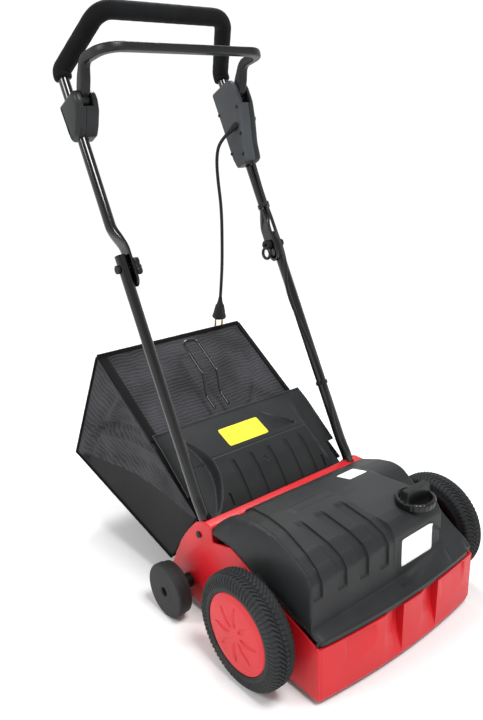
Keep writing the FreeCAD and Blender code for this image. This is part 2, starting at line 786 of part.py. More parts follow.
def flat_lug(side):
    """The flattened end of the upper tube, and its taper into the round tube."""
    corners = [(0, -lug_half_width), (lug_top, -lug_half_width), (lug_top, lug_half_width),
               (0, lug_half_width)]
    flat = slab_x(handle_outline(corners), side * lug_inner_x, side * lug_outer_x)
    tail = [(-lug_below_fold + 9, -lug_half_width + 3), (0, -lug_half_width), (0, lug_half_width),
            (-lug_below_fold + 9, lug_half_width - 3), (-lug_below_fold, 0)]
    end = slab_x(handle_outline(tail), side * lug_inner_x, side * lug_outer_x)
    middle_x = side * (lug_inner_x + lug_outer_x) / 2
    half = lug_thickness / 2
    flat_corners = [on_handle(middle_x + dx, lug_top, f)
                    for dx, f in ((-half, -lug_half_width), (half, -lug_half_width),
                                  (half, lug_half_width), (-half, lug_half_width))]
    flat_wire = Part.makePolygon(flat_corners + flat_corners[:1])
    square = tube_radius * 0.86
    round_corners = [on_handle(side * tube_x + dx, full_tube_from, f)
                     for dx, f in ((-square, -square), (square, -square), (square, square),
                                   (-square, square))]
    round_wire = Part.makePolygon(round_corners + round_corners[:1])
    taper = Part.makeLoft([flat_wire, round_wire], True, True)
    lug = fused([flat, end, taper])
    hole = rod_x(side * (lug_inner_x - 5), side * (lug_outer_x + 5), fold_y, fold_z,
                 fold_bolt_radius + fit_gap)
    return lug.cut(hole)


grip_points = [tuple(on_handle(-tube_x, full_tube_from, 0)), (-bend_point.x, bend_point.y, bend_point.z),
               (-grip_corner[0], grip_corner[1], grip_corner[2]), grip_corner,
               (bend_point.x, bend_point.y, bend_point.z), tuple(on_handle(tube_x, full_tube_from, 0))]
grip_radii = [leg_bend_radius, grip_bend_radius, grip_bend_radius, leg_bend_radius]


def upper_tube():
    path = smooth_path(grip_points, grip_radii)
    hollow = sweep(path, tube_radius).cut(sweep(path, tube_radius - tube_wall))
    return fused([hollow, flat_lug(LEFT), flat_lug(RIGHT)])


def foam_grip():
    """The foam sleeve over the whole grip, which starts just above the two housings."""
    points = [tuple(on_handle(-tube_x, foam_start - 30, 0))] + grip_points[1:5]
    points += [tuple(on_handle(tube_x, foam_start - 30, 0))]
    outer = sweep(smooth_path(points, grip_radii), foam_radius)
    inner = sweep(smooth_path(points, grip_radii), tube_radius + 0.1)
    below = slab_x(handle_outline([(foam_start - 60, -40), (foam_start - 60, 40), (foam_start, 40),
                                   (foam_start, -40)]), -260, 260)
    return outer.cut(inner).cut(below)


export("upper_tube", upper_tube())
export("foam_grip", foam_grip())


def fold_bolt(side):
    head_x = tube_x + tube_radius + 1
    shank = rod_x(side * 151, side * head_x, fold_y, fold_z, fold_bolt_radius)
    head = rod_x(side * head_x, side * (head_x + 4), fold_y, fold_z, 8)
    return fused([shank, head])


export("fold_bolts", fold_bolt(LEFT), fold_bolt(RIGHT))

nut_outer_x = lug_inner_x - part_gap


def wing_nut():
    """The left nut, with three lobes."""
    shapes = [rod_x(-nut_outer_x, -nut_outer_x + 14, fold_y, fold_z, 9)]
    for index in range(3):
        angle = math.radians(90 + index * 120)
        y = fold_y + 12 * math.cos(angle)
        z = fold_z + 12 * math.sin(angle)
        shapes.append(rod_x(-nut_outer_x + 2, -nut_outer_x + 13, y, z, 6.5))
    nut = fused(shapes)
    return nut.cut(rod_x(-nut_outer_x - 1, -nut_outer_x + 20, fold_y, fold_z,
                         fold_bolt_radius + fit_gap))


def ring_nut():
    """The right nut, with a ring to turn it by."""
    hub = rod_x(nut_outer_x, nut_outer_x - 13, fold_y, fold_z, 10)
    hub = hub.cut(rod_x(nut_outer_x + 1, nut_outer_x - 14, fold_y, fold_z, fold_bolt_radius + fit_gap))
    loop = Part.makeTorus(11, 3.2, V(nut_outer_x - 9, fold_y, fold_z - 18), X_AXIS)
    return fused([hub, loop.cut(rod_x(nut_outer_x + 1, nut_outer_x - 14, fold_y, fold_z, 9.5))])


export("wing_nut_left", wing_nut())
export("ring_nut_right", ring_nut())

# ---------------------------------------------------------------- switch box and bail
switch_outline = [(switch_box_bottom, -14), (switch_box_bottom, 24), (215, 30), (262, 47), (296, 56),
                  (332, 56), (switch_box_top, 44), (switch_box_top, -19), (200, -19)]
pivot_outline = [(pivot_box_bottom, -13), (pivot_box_bottom, 12), (264, 27), (286, 46), (304, 52),
                 (318, 51), (pivot_box_top, 42), (pivot_box_top, -18), (272, -18)]


def handle_box(outline, side, x_from, x_to, open_towards_inside):
    """Half of a housing clamped round the tube, hollow, and slotted for the bail's arm."""
    solid = slab_x(handle_outline(outline), side * x_from, side * x_to)
    room = slab_x(offset_outline(handle_outline(outline), box_wall), side * x_from, side * x_to)
    if open_towards_inside:
        room.translate(V(-side * box_wall, 0, 0))
    else:
        room.translate(V(side * box_wall, 0, 0))
    tube = rod(on_handle(side * tube_x, 100, 0), on_handle(side * tube_x, 420, 0), tube_radius + 0.1)
    slot = slab_x(handle_outline([(292, 12), (292, 80), (420, 80), (420, 12)]), side * 171, side * 192)
    pin = rod_x(side * 150, side * 215, pivot_place.y, pivot_place.z, bail_pin_radius)
    half = solid.cut(room).cut(tube).cut(slot).cut(pin)
    return max(half.Solids, key=lambda piece: piece.Volume)


pivot_place = on_handle(0, bail_pivot[0], bail_pivot[1])
button_place = on_handle(0, 268, 30)
switch_outer = handle_box(switch_outline, RIGHT, box_split_x, box_outer_x, True)
switch_outer = switch_outer.cut(rod_x(box_split_x, box_outer_x + 5, button_place.y, button_place.z,
                                      lock_button_radius + part_gap))
export("switch_box_inner", handle_box(switch_outline, RIGHT, box_inner_x, box_split_x, False))
export("switch_box_outer", switch_outer)
export("pivot_box_inner", handle_box(pivot_outline, LEFT, box_inner_x, box_split_x, False))
export("pivot_box_outer", handle_box(pivot_outline, LEFT, box_split_x, box_outer_x, True))
export("bail_pins", rod_x(-box_inner_x - 1, -box_outer_x + 0.5, pivot_place.y, pivot_place.z, bail_pin_radius),
       rod_x(box_inner_x + 1, box_outer_x - 0.5, pivot_place.y, pivot_place.z, bail_pin_radius))

switch_unit = slab_x(handle_outline([(232, 17), (232, 30), (256, 36), (256, 17)]), 168, 183)
export("switch_unit", switch_unit)
button_inner_x = box_outer_x - 12
export("lock_button", rod_x(button_inner_x, box_outer_x + 6, button_place.y, button_place.z,
                            lock_button_radius))
screw_spots = [(196, 20), (236, 33), (288, 46), (212, -15), (300, -15)]
export("switch_box_screws", *[
    rod_x(box_inner_x - 1.2, box_inner_x, on_handle(0, a, f).y, on_handle(0, a, f).z, 3.2)
    for a, f in screw_spots])


def bail():
    points = [tuple(on_handle(-bail_x, *bail_pivot)), tuple(on_handle(-bail_x, *bail_elbow)),
              tuple(on_handle(-bail_x + 6, *bail_bar)), tuple(on_handle(bail_x - 6, *bail_bar)),
              tuple(on_handle(bail_x, *bail_elbow)), tuple(on_handle(bail_x, *bail_pivot))]
    bar = sweep(smooth_path(points, [22, bail_corner_radius, bail_corner_radius, 22]), bail_radius)
    eyes = [rod_x(s * (bail_x - 8), s * (bail_x + 8), pivot_place.y, pivot_place.z, 12)
            for s in (LEFT, RIGHT)]
    lever = fused([bar] + eyes)
    return lever.cut(rod_x(-210, 210, pivot_place.y, pivot_place.z, bail_pin_radius + fit_gap))


export("bail_lever", bail())

# ---------------------------------------------------------------- power cable to the motor
upper_cable_route = [
    tuple(on_handle(182, switch_box_bottom - 0.3, 18.5)), tuple(on_handle(181, 148, 18.0)),
    tuple(on_handle(180, 114, 17.0)), tuple(on_handle(180.5, 84, 16.0)),
    tuple(on_handle(178, 58, 21)),
]
lower_cable_route = [
    (165, 376, 644), (165, 360, 618), (164, 346, 586), (164.5, 346, 550), (168, 336, 512),
    (174, 314, 470), (178.5, 291, 428), (180, 268, 383), (180, 246, 340), (176.5, 224, 303),
    (172, 209, 264), (170, 189, 229), (170, 168, 207),
]
export("power_cable_upper", cord("power cable, upper", upper_cable_route, cord_radius))
export("power_cable_lower", cord("power cable, lower", lower_cable_route, cord_radius))
gland_top = V(*lower_cable_route[-1])
gland_axis = (gland_top - V(*lower_cable_route[-2])).normalize()
export("cable_gland", Part.makeCone(5, 7.5, 14, gland_top, gland_axis).cut(red_deck).Solids[0])

eye_gap = 1.1                   # room for the cable to pass the eye at a slant


def tube_clip(along, cable_x, cable_forward):
    """A band round the tube with an eye for the cable."""
    low = on_handle(tube_x, along - 4, 0)
    high = on_handle(tube_x, along + 4, 0)
    band = rod(low, high, tube_radius + 2.2)
    eye_low = on_handle(cable_x, along - 4, cable_forward)
    eye_high = on_handle(cable_x, along + 4, cable_forward)
    clip = fused([band, rod(eye_low, eye_high, cord_radius + eye_gap + 1.8)])
    return clip.cut(rod(low, high, tube_radius)).cut(rod(eye_low, eye_high, cord_radius + eye_gap))


export("cable_clip_upper", tube_clip(84, 180.4, 16.2))
export("cable_clip_lower", tube_clip(-312, 180.0, 13.7))

# ---------------------------------------------------------------- mains lead and plug
mains_route = [
    (145, 505, 842), (131, 516, 826), (125, 521, 795), (125, 519, 750), (123.5, 507, 690),
    (122.5, 507, 615), (122.5, 511, 548), (122.5, 520, 490),
]
relief_end = V(*mains_route[0])
relief_axis = (relief_end - V(*mains_route[1])).normalize()
relief_length = 30.0
relief = Part.makeCone(cord_radius + 0.8, 7.5, relief_length, relief_end, relief_axis)
relief = relief.cut(box((box_inner_x, 400, 700), (box_outer_x, 600, 1000)))
export("mains_strain_relief", relief.Solids[0])
export("mains_cord", cord("mains lead", mains_route, cord_radius))

plug_top = V(*mains_route[-1])
plug_axis = (V(*mains_route[-1]) - V(*mains_route[-2])).normalize()
plug_boot = 16.0
plug_body = 34.0
plug_radius = 15.0


def mains_plug():
    boot = Part.makeCone(cord_radius + 1.2, 7.5, plug_boot, plug_top, plug_axis)
    body = Part.makeCone(8.5, plug_radius, plug_body, plug_top + plug_axis * plug_boot, plug_axis)
    return fused([boot, body])


def plug_pins():
    face = plug_top + plug_axis * (plug_boot + plug_body)
    pins = []
    for side in (LEFT, RIGHT):
        start = face + V(side * pin_spacing / 2, 0, 0)
        pins.append(Part.makeCylinder(pin_radius, pin_length, start, plug_axis))
    return pins


export("mains_plug", mains_plug())
export("plug_pins", *plug_pins())

plug_face = plug_top + plug_axis * (plug_boot + plug_body)
print("nodes", len(os.listdir("parts")))
print("fold", round(fold_y - middle_y, 3), round(fold_z, 3))
print("bail pivot", round(pivot_place.y - middle_y, 3), round(pivot_place.z, 3))
print("button", round(button_place.y - middle_y, 3), round(button_place.z, 3))
print("plug face", [round(v, 3) for v in (plug_face.x, plug_face.y - middle_y, plug_face.z)],
      "axis", [round(v, 5) for v in plug_axis], "tip z", round((plug_face + plug_axis * pin_length).z, 1))
print("middle y", middle_y)
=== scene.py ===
import bpy
import bmesh
import math
import numpy as np
from mathutils import Matrix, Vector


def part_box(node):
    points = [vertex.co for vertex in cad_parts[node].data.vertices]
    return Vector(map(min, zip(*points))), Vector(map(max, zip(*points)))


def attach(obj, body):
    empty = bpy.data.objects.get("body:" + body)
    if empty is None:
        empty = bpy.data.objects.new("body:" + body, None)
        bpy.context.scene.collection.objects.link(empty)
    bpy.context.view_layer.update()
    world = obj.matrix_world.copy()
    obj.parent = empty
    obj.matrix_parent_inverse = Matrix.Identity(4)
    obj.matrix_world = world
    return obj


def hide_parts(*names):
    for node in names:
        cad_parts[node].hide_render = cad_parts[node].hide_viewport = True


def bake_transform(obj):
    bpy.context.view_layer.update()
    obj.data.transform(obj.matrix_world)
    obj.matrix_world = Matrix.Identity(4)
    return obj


# Looks of an electric lawn dethatcher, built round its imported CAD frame. The sections follow the
# machine as it is put together. Lengths are millimetres from the middle of the front axle, on the
# ground, with +X to the knob's side, +Y towards the user and +Z up, until place() turns them to metres.
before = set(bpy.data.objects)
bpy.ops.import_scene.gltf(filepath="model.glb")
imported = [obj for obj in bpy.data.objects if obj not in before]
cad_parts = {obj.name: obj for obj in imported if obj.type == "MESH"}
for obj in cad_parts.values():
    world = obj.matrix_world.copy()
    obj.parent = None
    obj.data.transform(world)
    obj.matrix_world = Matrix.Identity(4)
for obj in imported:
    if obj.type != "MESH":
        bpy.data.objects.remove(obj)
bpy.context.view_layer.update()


# ---------------- red deck
# The chassis is one moulding of red ABS: two side walls, a faceted nose, a bar across the back and
# an arched chamber over the tine drum. Every edge that a hand meets is rounded.
axle_low, axle_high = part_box("front_axle")
axle_y = (axle_low.y + axle_high.y) / 2


def place(points):
    """Millimetres from the front axle, on the ground, to metres in the frame."""
    return np.asarray(points, float) / 1000 + (0, axle_y, 0)


def linear(colour):
    """An sRGB hex colour as linear red, green, blue and alpha."""
    channels = np.array([int(colour[i:i + 2], 16) for i in (1, 3, 5)]) / 255
    low, high = channels / 12.92, ((channels + 0.055) / 1.055) ** 2.4
    return (*np.where(channels <= 0.04045, low, high), 1.0)


def add(tree, kind, inputs=None, **settings):
    """One shader node: settings are its properties, inputs its values or the sockets they come from."""
    made = tree.nodes.new("ShaderNode" + kind)
    for key, value in settings.items():
        setattr(made, key, value)
    for key, value in (inputs or {}).items():
        if isinstance(value, bpy.types.NodeSocket):
            tree.links.new(value, made.inputs[key])
        else:
            made.inputs[key].default_value = value
    return made


def material(title, colour, roughness, **values):
    """A material with one Principled shader. Returns it, its tree, its shader and Object coordinates."""
    made = bpy.data.materials.new(title)
    made.use_nodes = True
    tree = made.node_tree
    shader = tree.nodes["Principled BSDF"]
    shader.inputs["Base Color"].default_value = linear(colour)
    shader.inputs["Roughness"].default_value = roughness
    for key, value in values.items():
        shader.inputs[key.replace("_", " ").title().replace("Ior", "IOR")].default_value = value
    return made, tree, shader, add(tree, "TexCoord").outputs["Object"]


def tint(tree, share, colour, light):
    """The colour from one hex to the other, by a share from 0 to 1."""
    return add(tree, "Mix", {0: share, 6: linear(colour), 7: linear(light)}, data_type="RGBA").outputs[2]


def noise(tree, where, scale, detail):
    """Cloudy noise from 0 to 1."""
    return add(tree, "TexNoise", {"Vector": where, "Scale": scale, "Detail": detail}).outputs["Fac"]


def mapped(tree, value, from_range=(0, 1), to_range=(0, 1)):
    """A value moved from one range to another."""
    limits = zip(("From Min", "From Max", "To Min", "To Max"), (*from_range, *to_range))
    return add(tree, "MapRange", {"Value": value, **dict(limits)}).outputs["Result"]


def bumped(tree, shader, height, strength, relief):
    """Ends a shader with a bump, relief millimetres deep."""
    bump = add(tree, "Bump", {"Height": height, "Strength": strength, "Distance": relief / 1000})
    tree.links.new(bump.outputs["Normal"], shader.inputs["Normal"])


def glossed(tree, shader, value, roughness, spread):
    """Spreads the roughness by a value from 0 to 1."""
    gloss = mapped(tree, value, to_range=(roughness - spread, roughness + spread))
    tree.links.new(gloss, shader.inputs["Roughness"])


def moulded(title, colour, light, roughness, grain=1.4, relief=0.05, **values):
    """Injection-moulded plastic: fine spark-eroded grain, with slow changes of tone and of gloss."""
    values = {"specular_ior_level": 0.28, **values}
    made, tree, shader, where = material(title, colour, roughness, **values)
    tone = mapped(tree, noise(tree, where, 1 / 0.09, 3.0), (0.3, 0.7))
    tree.links.new(tint(tree, tone, colour, light), shader.inputs["Base Color"])
    fine = noise(tree, where, 1000 / grain, 2.0)
    glossed(tree, shader, fine, roughness, 0.08)
    bumped(tree, shader, fine, 0.5, relief)
    return made


def metal(title, colour, light, roughness, brush):
    """A metal with cloudy changes of tone and gloss. brush is the scratch depth in millimetres."""
    made, tree, shader, where = material(title, colour, roughness, metallic=1.0)
    cloud = noise(tree, where, 1 / 0.02, 5.0)
    tree.links.new(tint(tree, cloud, colour, light), shader.inputs["Base Color"])
    glossed(tree, shader, cloud, roughness, 0.1)
    bumped(tree, shader, noise(tree, where, 1 / 0.0006, 2.0), 0.4, brush)
    return made


def refinish(finish, *names):
    """Gives CAD nodes their material."""
    for name in names:
        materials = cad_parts[name].data.materials
        materials.clear()
        materials.append(finish)


# ABS, moulded in colour: an even, slightly milky red that shines softly along its edges.
red_abs = moulded("red_moulded_abs", "#c4161f", "#cf2029", 0.36, grain=1.0, relief=0.03, ior=1.53,
                  subsurface_weight=0.08)


def quads(rows, columns, wrap_rows=False, wrap_columns=False, flip=False):
    """Corner numbers of the quads of a grid that is numbered row by row."""
    row = np.arange(rows if wrap_rows else rows - 1)[:, None]
    column = np.arange(columns if wrap_columns else columns - 1)[None, :]
    next_row, next_column = (row + 1) % rows, (column + 1) % columns
    corners = [row * columns + column, row * columns + next_column,
               next_row * columns + next_column, next_row * columns + column]
    return np.stack(corners[::-1] if flip else corners, -1).reshape(-1, 4).tolist()


def shown(title, data):
    """A new object, linked into the scene."""
    made = bpy.data.objects.new(title, data)
    bpy.context.scene.collection.objects.link(made)
    return made


def piece(title, points, faces, body, finish, replaces=(), slot=None, uv=None, closed=True, sharp=35):
    """A mesh of points and faces that rides on a body. A closed one gets its normals turned outwards."""
    mesh = bpy.data.meshes.new(title)
    mesh.from_pydata(place(points).tolist(), [], faces)
    if uv is not None:
        corner = np.zeros(len(mesh.loops), np.int32)
        mesh.loops.foreach_get("vertex_index", corner)
        layer = mesh.uv_layers.new(name="UVMap")
        layer.data.foreach_set("uv", np.asarray(uv, np.float32)[corner].ravel())
    if closed:
        work = bmesh.new()
        work.from_mesh(mesh)
        bmesh.ops.recalc_face_normals(work, faces=work.faces)
        work.to_mesh(mesh)
        work.free()
    mesh.shade_smooth()
    mesh.set_sharp_from_angle(angle=math.radians(sharp))
    mesh.materials.append(finish)
    made = shown(title, mesh)
    if body:
        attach(made, body)
    if replaces:
        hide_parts(*replaces)
    return made


def joined(*parts):
    """Several (points, faces) as one."""
    counts = np.cumsum([0] + [len(points) for points, faces in parts])
    faces = [[corner + start for corner in face]
             for (points, part_faces), start in zip(parts, counts) for face in part_faces]
    return np.vstack([points for points, part_faces in parts]), faces


def unit(vectors):
    """Vectors of length 1."""
    return vectors / np.maximum(np.linalg.norm(vectors, axis=-1, keepdims=True), 1e-6)


def bend(before, corner, after, radius, most, steps, least=0.0):
    """For each row of corners an arc tangent to both runs, that takes up at most a share of either."""
    back, ahead = unit(before - corner), unit(after - corner)
    room = most * np.minimum(*(np.linalg.norm(end - corner, axis=1, keepdims=True)
                               for end in (before, after)))
    cosine = np.clip(np.sum(back * ahead, 1, keepdims=True), -1, 1)
    half_turn = np.maximum((math.pi - np.arccos(cosine)) / 2, least)
    radius = np.minimum(radius * np.tan(half_turn), room) / np.tan(half_turn)
    inward, side = unit(back + ahead), unit(ahead - back)
    turn = half_turn[:, None] * np.linspace(-1, 1, steps)[None, :, None]
    centre = corner + inward * radius / np.cos(half_turn)
    return centre[:, None] + radius[:, None] * (side[:, None] * np.sin(turn)
                                                - inward[:, None] * np.cos(turn))


def rounded(corners, radii, closed=True, steps=7):
    """A line with its corners turned into arcs, each tangent to both runs and no longer than they allow."""
    corners = np.asarray(corners, float)
    count = len(corners)
    radii = np.broadcast_to(radii, count)
    line = [] if closed else [corners[:1]]
    for index in range(0 if closed else 1, count if closed else count - 1):
        near = [corners[[index - 1]], corners[[index]], corners[[(index + 1) % count]]]
        straight = unit(near[0] - near[1])[0] @ unit(near[2] - near[1])[0] < math.cos(2e-3) * -1
        line.append(near[1] if straight else bend(*near, radii[index], 0.48, steps)[0])
    if not closed:
        line.append(corners[-1:])
    return np.vstack(line)


def slab(outline, x_low, x_high, edge_low=1.5, edge_high=1.5, inset_low=None, inset_high=None, steps=5):
    """A (y, z) outline carried along X. Towards each face its rings step inwards on a quarter ellipse,
    edge deep along X and inset wide, and each face is one flat polygon."""
    outline = np.asarray(outline, float)
    before, after = np.roll(outline, 1, 0), np.roll(outline, -1, 0)
    tangent = after - before
    tangent /= np.linalg.norm(tangent, axis=1, keepdims=True)
    area = np.sum(outline[:, 0] * after[:, 1] - after[:, 0] * outline[:, 1])
    outward = np.stack([tangent[:, 1], -tangent[:, 0]], 1) * np.sign(area)
    turn = np.linspace(0, math.pi / 2, steps)
    rings = []
    for face_x, edge, inset, way in ((x_low, edge_low, inset_low, 1), (x_high, edge_high, inset_high, -1)):
        inset = edge if inset is None else inset
        depth = face_x + way * edge * (1 - np.cos(turn))
        step = inset * (1 - np.sin(turn))
        order = slice(None) if way > 0 else slice(None, None, -1)
        rings += list(zip(depth[order], step[order]))
    points = [np.column_stack([np.full(len(outline), x), outline - outward * step]) for x, step in rings]
    count = len(outline)
    faces = quads(len(rings), count, wrap_columns=True)
    faces += [list(range(count)), list(range((len(rings) - 1) * count, len(rings) * count))]
    return np.vstack(points), faces


def along(line, count, power=1.0):
    """The line as count points, evenly spaced along its length."""
    line = np.asarray(line, float)
    length = np.concatenate([[0], np.cumsum(np.linalg.norm(np.diff(line, axis=0), axis=1))])
    where = np.linspace(0, 1, count) ** power * length[-1]
    return np.stack([np.interp(where, length, line[:, k]) for k in range(line.shape[1])], 1)


def around(count):
    """Angles of a full turn."""
    return np.linspace(0, 2 * math.pi, count, endpoint=False)


def circle(middle, radius, angle):
    """A round line, or a lobed one where the radius changes with the angle."""
    return np.column_stack([middle[0] + radius * np.cos(angle), middle[1] + radius * np.sin(angle)])


side_half, wall, moulding_wall = 199.0, 5.0, 2.5
nose_wall, arch_start, arch_end = 4.5, 218, 2
nose_corner_y, nose_middle_y = -118.0, -132.0
nose_low, nose_high = 8.0, 106.5
side_outline = [(-118, 8), (-118, 106), (62, 171), (93, 183), (145, 169), (147, 198.5), (173, 198.5),
                (195, 188), (218, 163), (243, 131), (262, 95), (281, 58), (272, 33), (244, 16)]
side_line = rounded(side_outline, [6, 2, 6, 4, 2, 4, 14, 26, 60, 70, 60, 14, 24, 12])
sides = [slab(side_line, *sorted((s * (side_half - wall), s * side_half)), 2.2, 2.2) for s in (-1, 1)]
bar_outline = [(147, 165), (147, 199), (173, 199), (173, 179), (191, 162), (186, 147), (155, 151)]
crossbar = slab(rounded(bar_outline, [2, 4.5, 5, 2, 3, 3, 3]), -side_half + 1, side_half - 1)

# Behind the nose: the arch over the drum, the wall beside the belt, the tray under the motor and its ribs.
drum_middle, arch_outer, arch_inner, belt_wall_x = (128.0, 75.0), 79.5, 76.5, -172
turn = np.linspace(math.radians(arch_start), math.radians(arch_end), 40)
arch_outline = np.vstack([circle(drum_middle, arch_outer, turn),
                          circle(drum_middle, arch_inner, turn[::-1])])
chamber_roof = slab(arch_outline[8:-8], belt_wall_x, side_half - wall, 0.4, 0.4)
belt_outline = [(44, 10), (44, 120), (90, 156), (150, 155), (196, 164), (212, 100), (190, 10)]
belt_wall = slab(rounded(belt_outline, 8), belt_wall_x, belt_wall_x + 4, 0.5, 0.5)
tray = slab(rounded([(-114, 80), (-114, 84), (52, 84), (52, 80)], 1), -side_half + wall, side_half - wall)
rib_outline = rounded([(-112, 12), (-112, 78), (-90, 78), (-98, 12)], 2)
ribs = [slab(rib_outline, x, x + 3, 0.6, 0.6) for x in range(-140, 141, 70)]
piece("deck_shell", *joined(*sides, crossbar, chamber_roof, belt_wall, tray, *ribs), "chassis", red_abs,
      ["red_deck"], "red_plastic")


def smooth(low, high, value):
    """0 below low, 1 above high, and a smooth step between."""
    share = np.clip((value - low) / (high - low), 0, 1)
    return share * share * (3 - 2 * share)


nose_hollows, hollow_depth, hollow_ridge = ((-59, -14), (34, 81)), 17.0, 0.62


def nose(x, z):
    """How far back the nose stands: a bow, and folded facets that stand forward of two hollows whose
    back walls lean, with a fine step at each facet's side."""
    bow = nose_corner_y + (nose_middle_y - nose_corner_y) * (1 - (x / side_half) ** 2)
    hollow = np.zeros_like(x)
    for left, right in nose_hollows:
        run = np.clip((x - left) / (right - left), 0, 1)
        slant = np.where(run < hollow_ridge, run / hollow_ridge * 0.55, 1 - (run - hollow_ridge) * 0.35)
        hollow += ((x > left) & (x < right)) * hollow_depth * smooth(8, 74, z) * slant
    for middle, reach in ((-113, 34), (132, 40)):
        ramp = np.clip((z - (52 + 0.32 * np.abs(x - middle))) / 45, 0, 1)
        hollow += 5.0 * ramp * smooth(reach, reach - 5, np.abs(x - middle)) * (z < 104)
    return bow + hollow


folds = [round(left + share * (right - left), 1) for left, right in nose_hollows
         for share in (0, hollow_ridge, 1)]
nose_x = np.unique(np.concatenate([np.linspace(-side_half + 0.5, side_half - 0.5, 130)]
                                  + [fold + np.array([-0.4, 0.4]) for fold in folds]))
nose_z = np.concatenate([[nose_low], np.linspace(nose_low + 1, nose_high, 44)])
grid_x, grid_z = np.meshgrid(nose_x, nose_z, indexing="ij")
front_y = nose(grid_x, grid_z)
corner = np.clip((np.abs(grid_x) - (side_half - 7)) / 6.5, 0, 1)
front_y += 6.5 * (1 - np.sqrt(1 - 0.999 * corner ** 2)) + 1.2 * smooth(nose_low + 2, nose_low, grid_z)
outer = np.stack([grid_x, front_y, grid_z], -1)
inner = outer + (0, nose_wall, 0)
rows, columns = grid_x.shape
shell = np.concatenate([outer, inner[:, ::-1]], 1).reshape(-1, 3)
shell_faces = quads(rows, 2 * columns, wrap_columns=True)
shell_faces += [list(range(2 * columns)), list(range((rows - 1) * 2 * columns, rows * 2 * columns))]
piece("deck_nose", shell, shell_faces, "chassis", red_abs, slot="red_plastic", sharp=28)


# ---------------- motor cover
# One moulding of charcoal polypropylene over the motor: a ledge along its front edge, a mound with four
# pressed channels, a platform for the knob and a ramp down to the right. Six screws hold it to the deck.
charcoal_pp = moulded("charcoal_moulded_polypropylene", "#1f2122", "#282a2b", 0.5, grain=1.3, relief=0.06,
                      ior=1.49)
cover_half = 198.3
mound = [(-116, 107), (-118, 119), (-101, 131), (-99.5, 160), (-98, 206), (-87, 222), (-55, 233.5),
         (5, 242), (60, 237), (117, 224), (146.8, 204)]
platform = [(-116, 107), (-118, 119), (-101, 131), (-100, 175), (-99, 214), (-88, 233), (-60, 236),
            (-20, 236), (62, 228), (124, 214), (146.8, 203)]
ramp = [(-116, 107), (-118, 119), (-101, 136), (-75, 150), (-49, 168), (-30, 187), (17, 202), (42, 222),
        (66, 226), (100, 219), (146.8, 202)]
foot = [(-116, 107), (-116, 120), (-103, 121), (-98, 125), (-86, 128), (-60, 132), (-20, 144), (30, 162),
        (62, 174), (93, 184.5), (146.8, 186)]
corner_radii = (1.5, 2.5, 30, 16, 20, 40, 90, 90, 40)
run_steps = (3, 7, 20, 20, 3, 6, 16, 13, 13, 7)
shoulder_left, shoulder_right = -192.0, 188.0


def profile(x):
    """The cover's control points at each x: mound, platform and ramp blend into each other, the front
    edge bows forward by a parabola, and the ramp's foot climbs along the platform."""
    to_platform = smooth(-6.5, -3.5, x)[:, None, None]
    to_ramp = smooth(120, 133, x)[:, None, None]
    flat = np.array(platform, float)[None] + np.zeros((len(x), 1, 1))
    flat[:, 2, 1] += 27 * np.clip((x - 28) / 99, 0, 1)
    made = np.array(mound) * (1 - to_platform) + flat * to_platform * (1 - to_ramp)
    made = made + np.array(ramp) * to_platform * to_ramp
    bow = -13 * (1 - (x / cover_half) ** 2) + 9 * smooth(178, 196, x) + 5 * smooth(-186, -197, x)
    made[:, :2, 0] += bow[:, None]
    return made


def rounded_rows(corners, radii, runs):
    """For every row at once: each inner corner becomes a tangent arc, and each run gets its own steps."""
    made, start = [], corners[:, :1]
    for index, radius in enumerate(radii, 1):
        arc = bend(*(corners[:, index + k] for k in (-1, 0, 1)), radius, 0.47, 5, 0.01)
        run = np.linspace(0, 1, runs[index - 1] + 1)[None, :-1, None]
        made += [start * (1 - run) + arc[:, :1] * run, arc]
        start = arc[:, -1:]
    run = np.linspace(0, 1, runs[-1] + 1)[None, 1:, None]
    made.append(start * (1 - run) + corners[:, -1:] * run)
    return np.concatenate(made, 1)


flute_edges = (-172.0, -118.0, -67.0, -18.0)
flute_depth, recess_depth, bar_height = 4.0, 3.2, 1.3
row_x = np.unique(np.round(np.concatenate(
    [np.linspace(shoulder_left, shoulder_right, 84), np.linspace(-7, -3, 7), np.linspace(118, 135, 7)]
    + [edge + np.array([-21.5, -20.3, -19.2, -18, -0.9, -0.45, 0, 0.5]) for edge in flute_edges]
    + [edge + np.array([-0.8, 0, 0.8]) for edge in (1.0, 123.0)]), 2))
yz = rounded_rows(profile(row_x), corner_radii, run_steps)
across = unit(np.gradient(yz, axis=1))
into = np.stack([across[..., 1], -across[..., 0]], -1)
y, z = yz[..., 0], yz[..., 1]
x = np.broadcast_to(row_x[:, None], y.shape)
sunk = np.zeros_like(x)
for index, edge in enumerate(flute_edges):
    inside = smooth(edge - 21.5, edge - 18, x) * smooth(edge + 0.5, edge - 0.9, x)
    end = smooth(12, 2, y) if index else np.ones_like(y)
    sunk += flute_depth * inside * smooth(178 - 4 * index, 182 - 4 * index, z) * end
bar_ends = smooth(-108, -104, x) * smooth(44, 40, x) * smooth(60, 57, y) * smooth(36, 39, y)
sunk -= bar_height * bar_ends * (z > 215)
recess_low = 124 + 27 * np.clip((x - 28) / 99, 0, 1)
recess_high = 209 - 0.9 * np.clip(x - 88, 0, None)
front = (y < -84) & (z > 122)
recess = smooth(recess_low, recess_low + 3, z) * smooth(recess_high, recess_high - 3, z)
sunk += recess_depth * front * smooth(0.2, 1.8, x) * smooth(124.4, 122.4, x) * recess
yz = yz + into * sunk[..., None]
back_share = np.clip((y + 90) / 237, 0, 1)
shift = np.interp(row_x, [-192, -172, -152, -118, -60], [37, 50, 36, 8, 0])[:, None]
main = np.dstack([x + shift * back_share, yz])


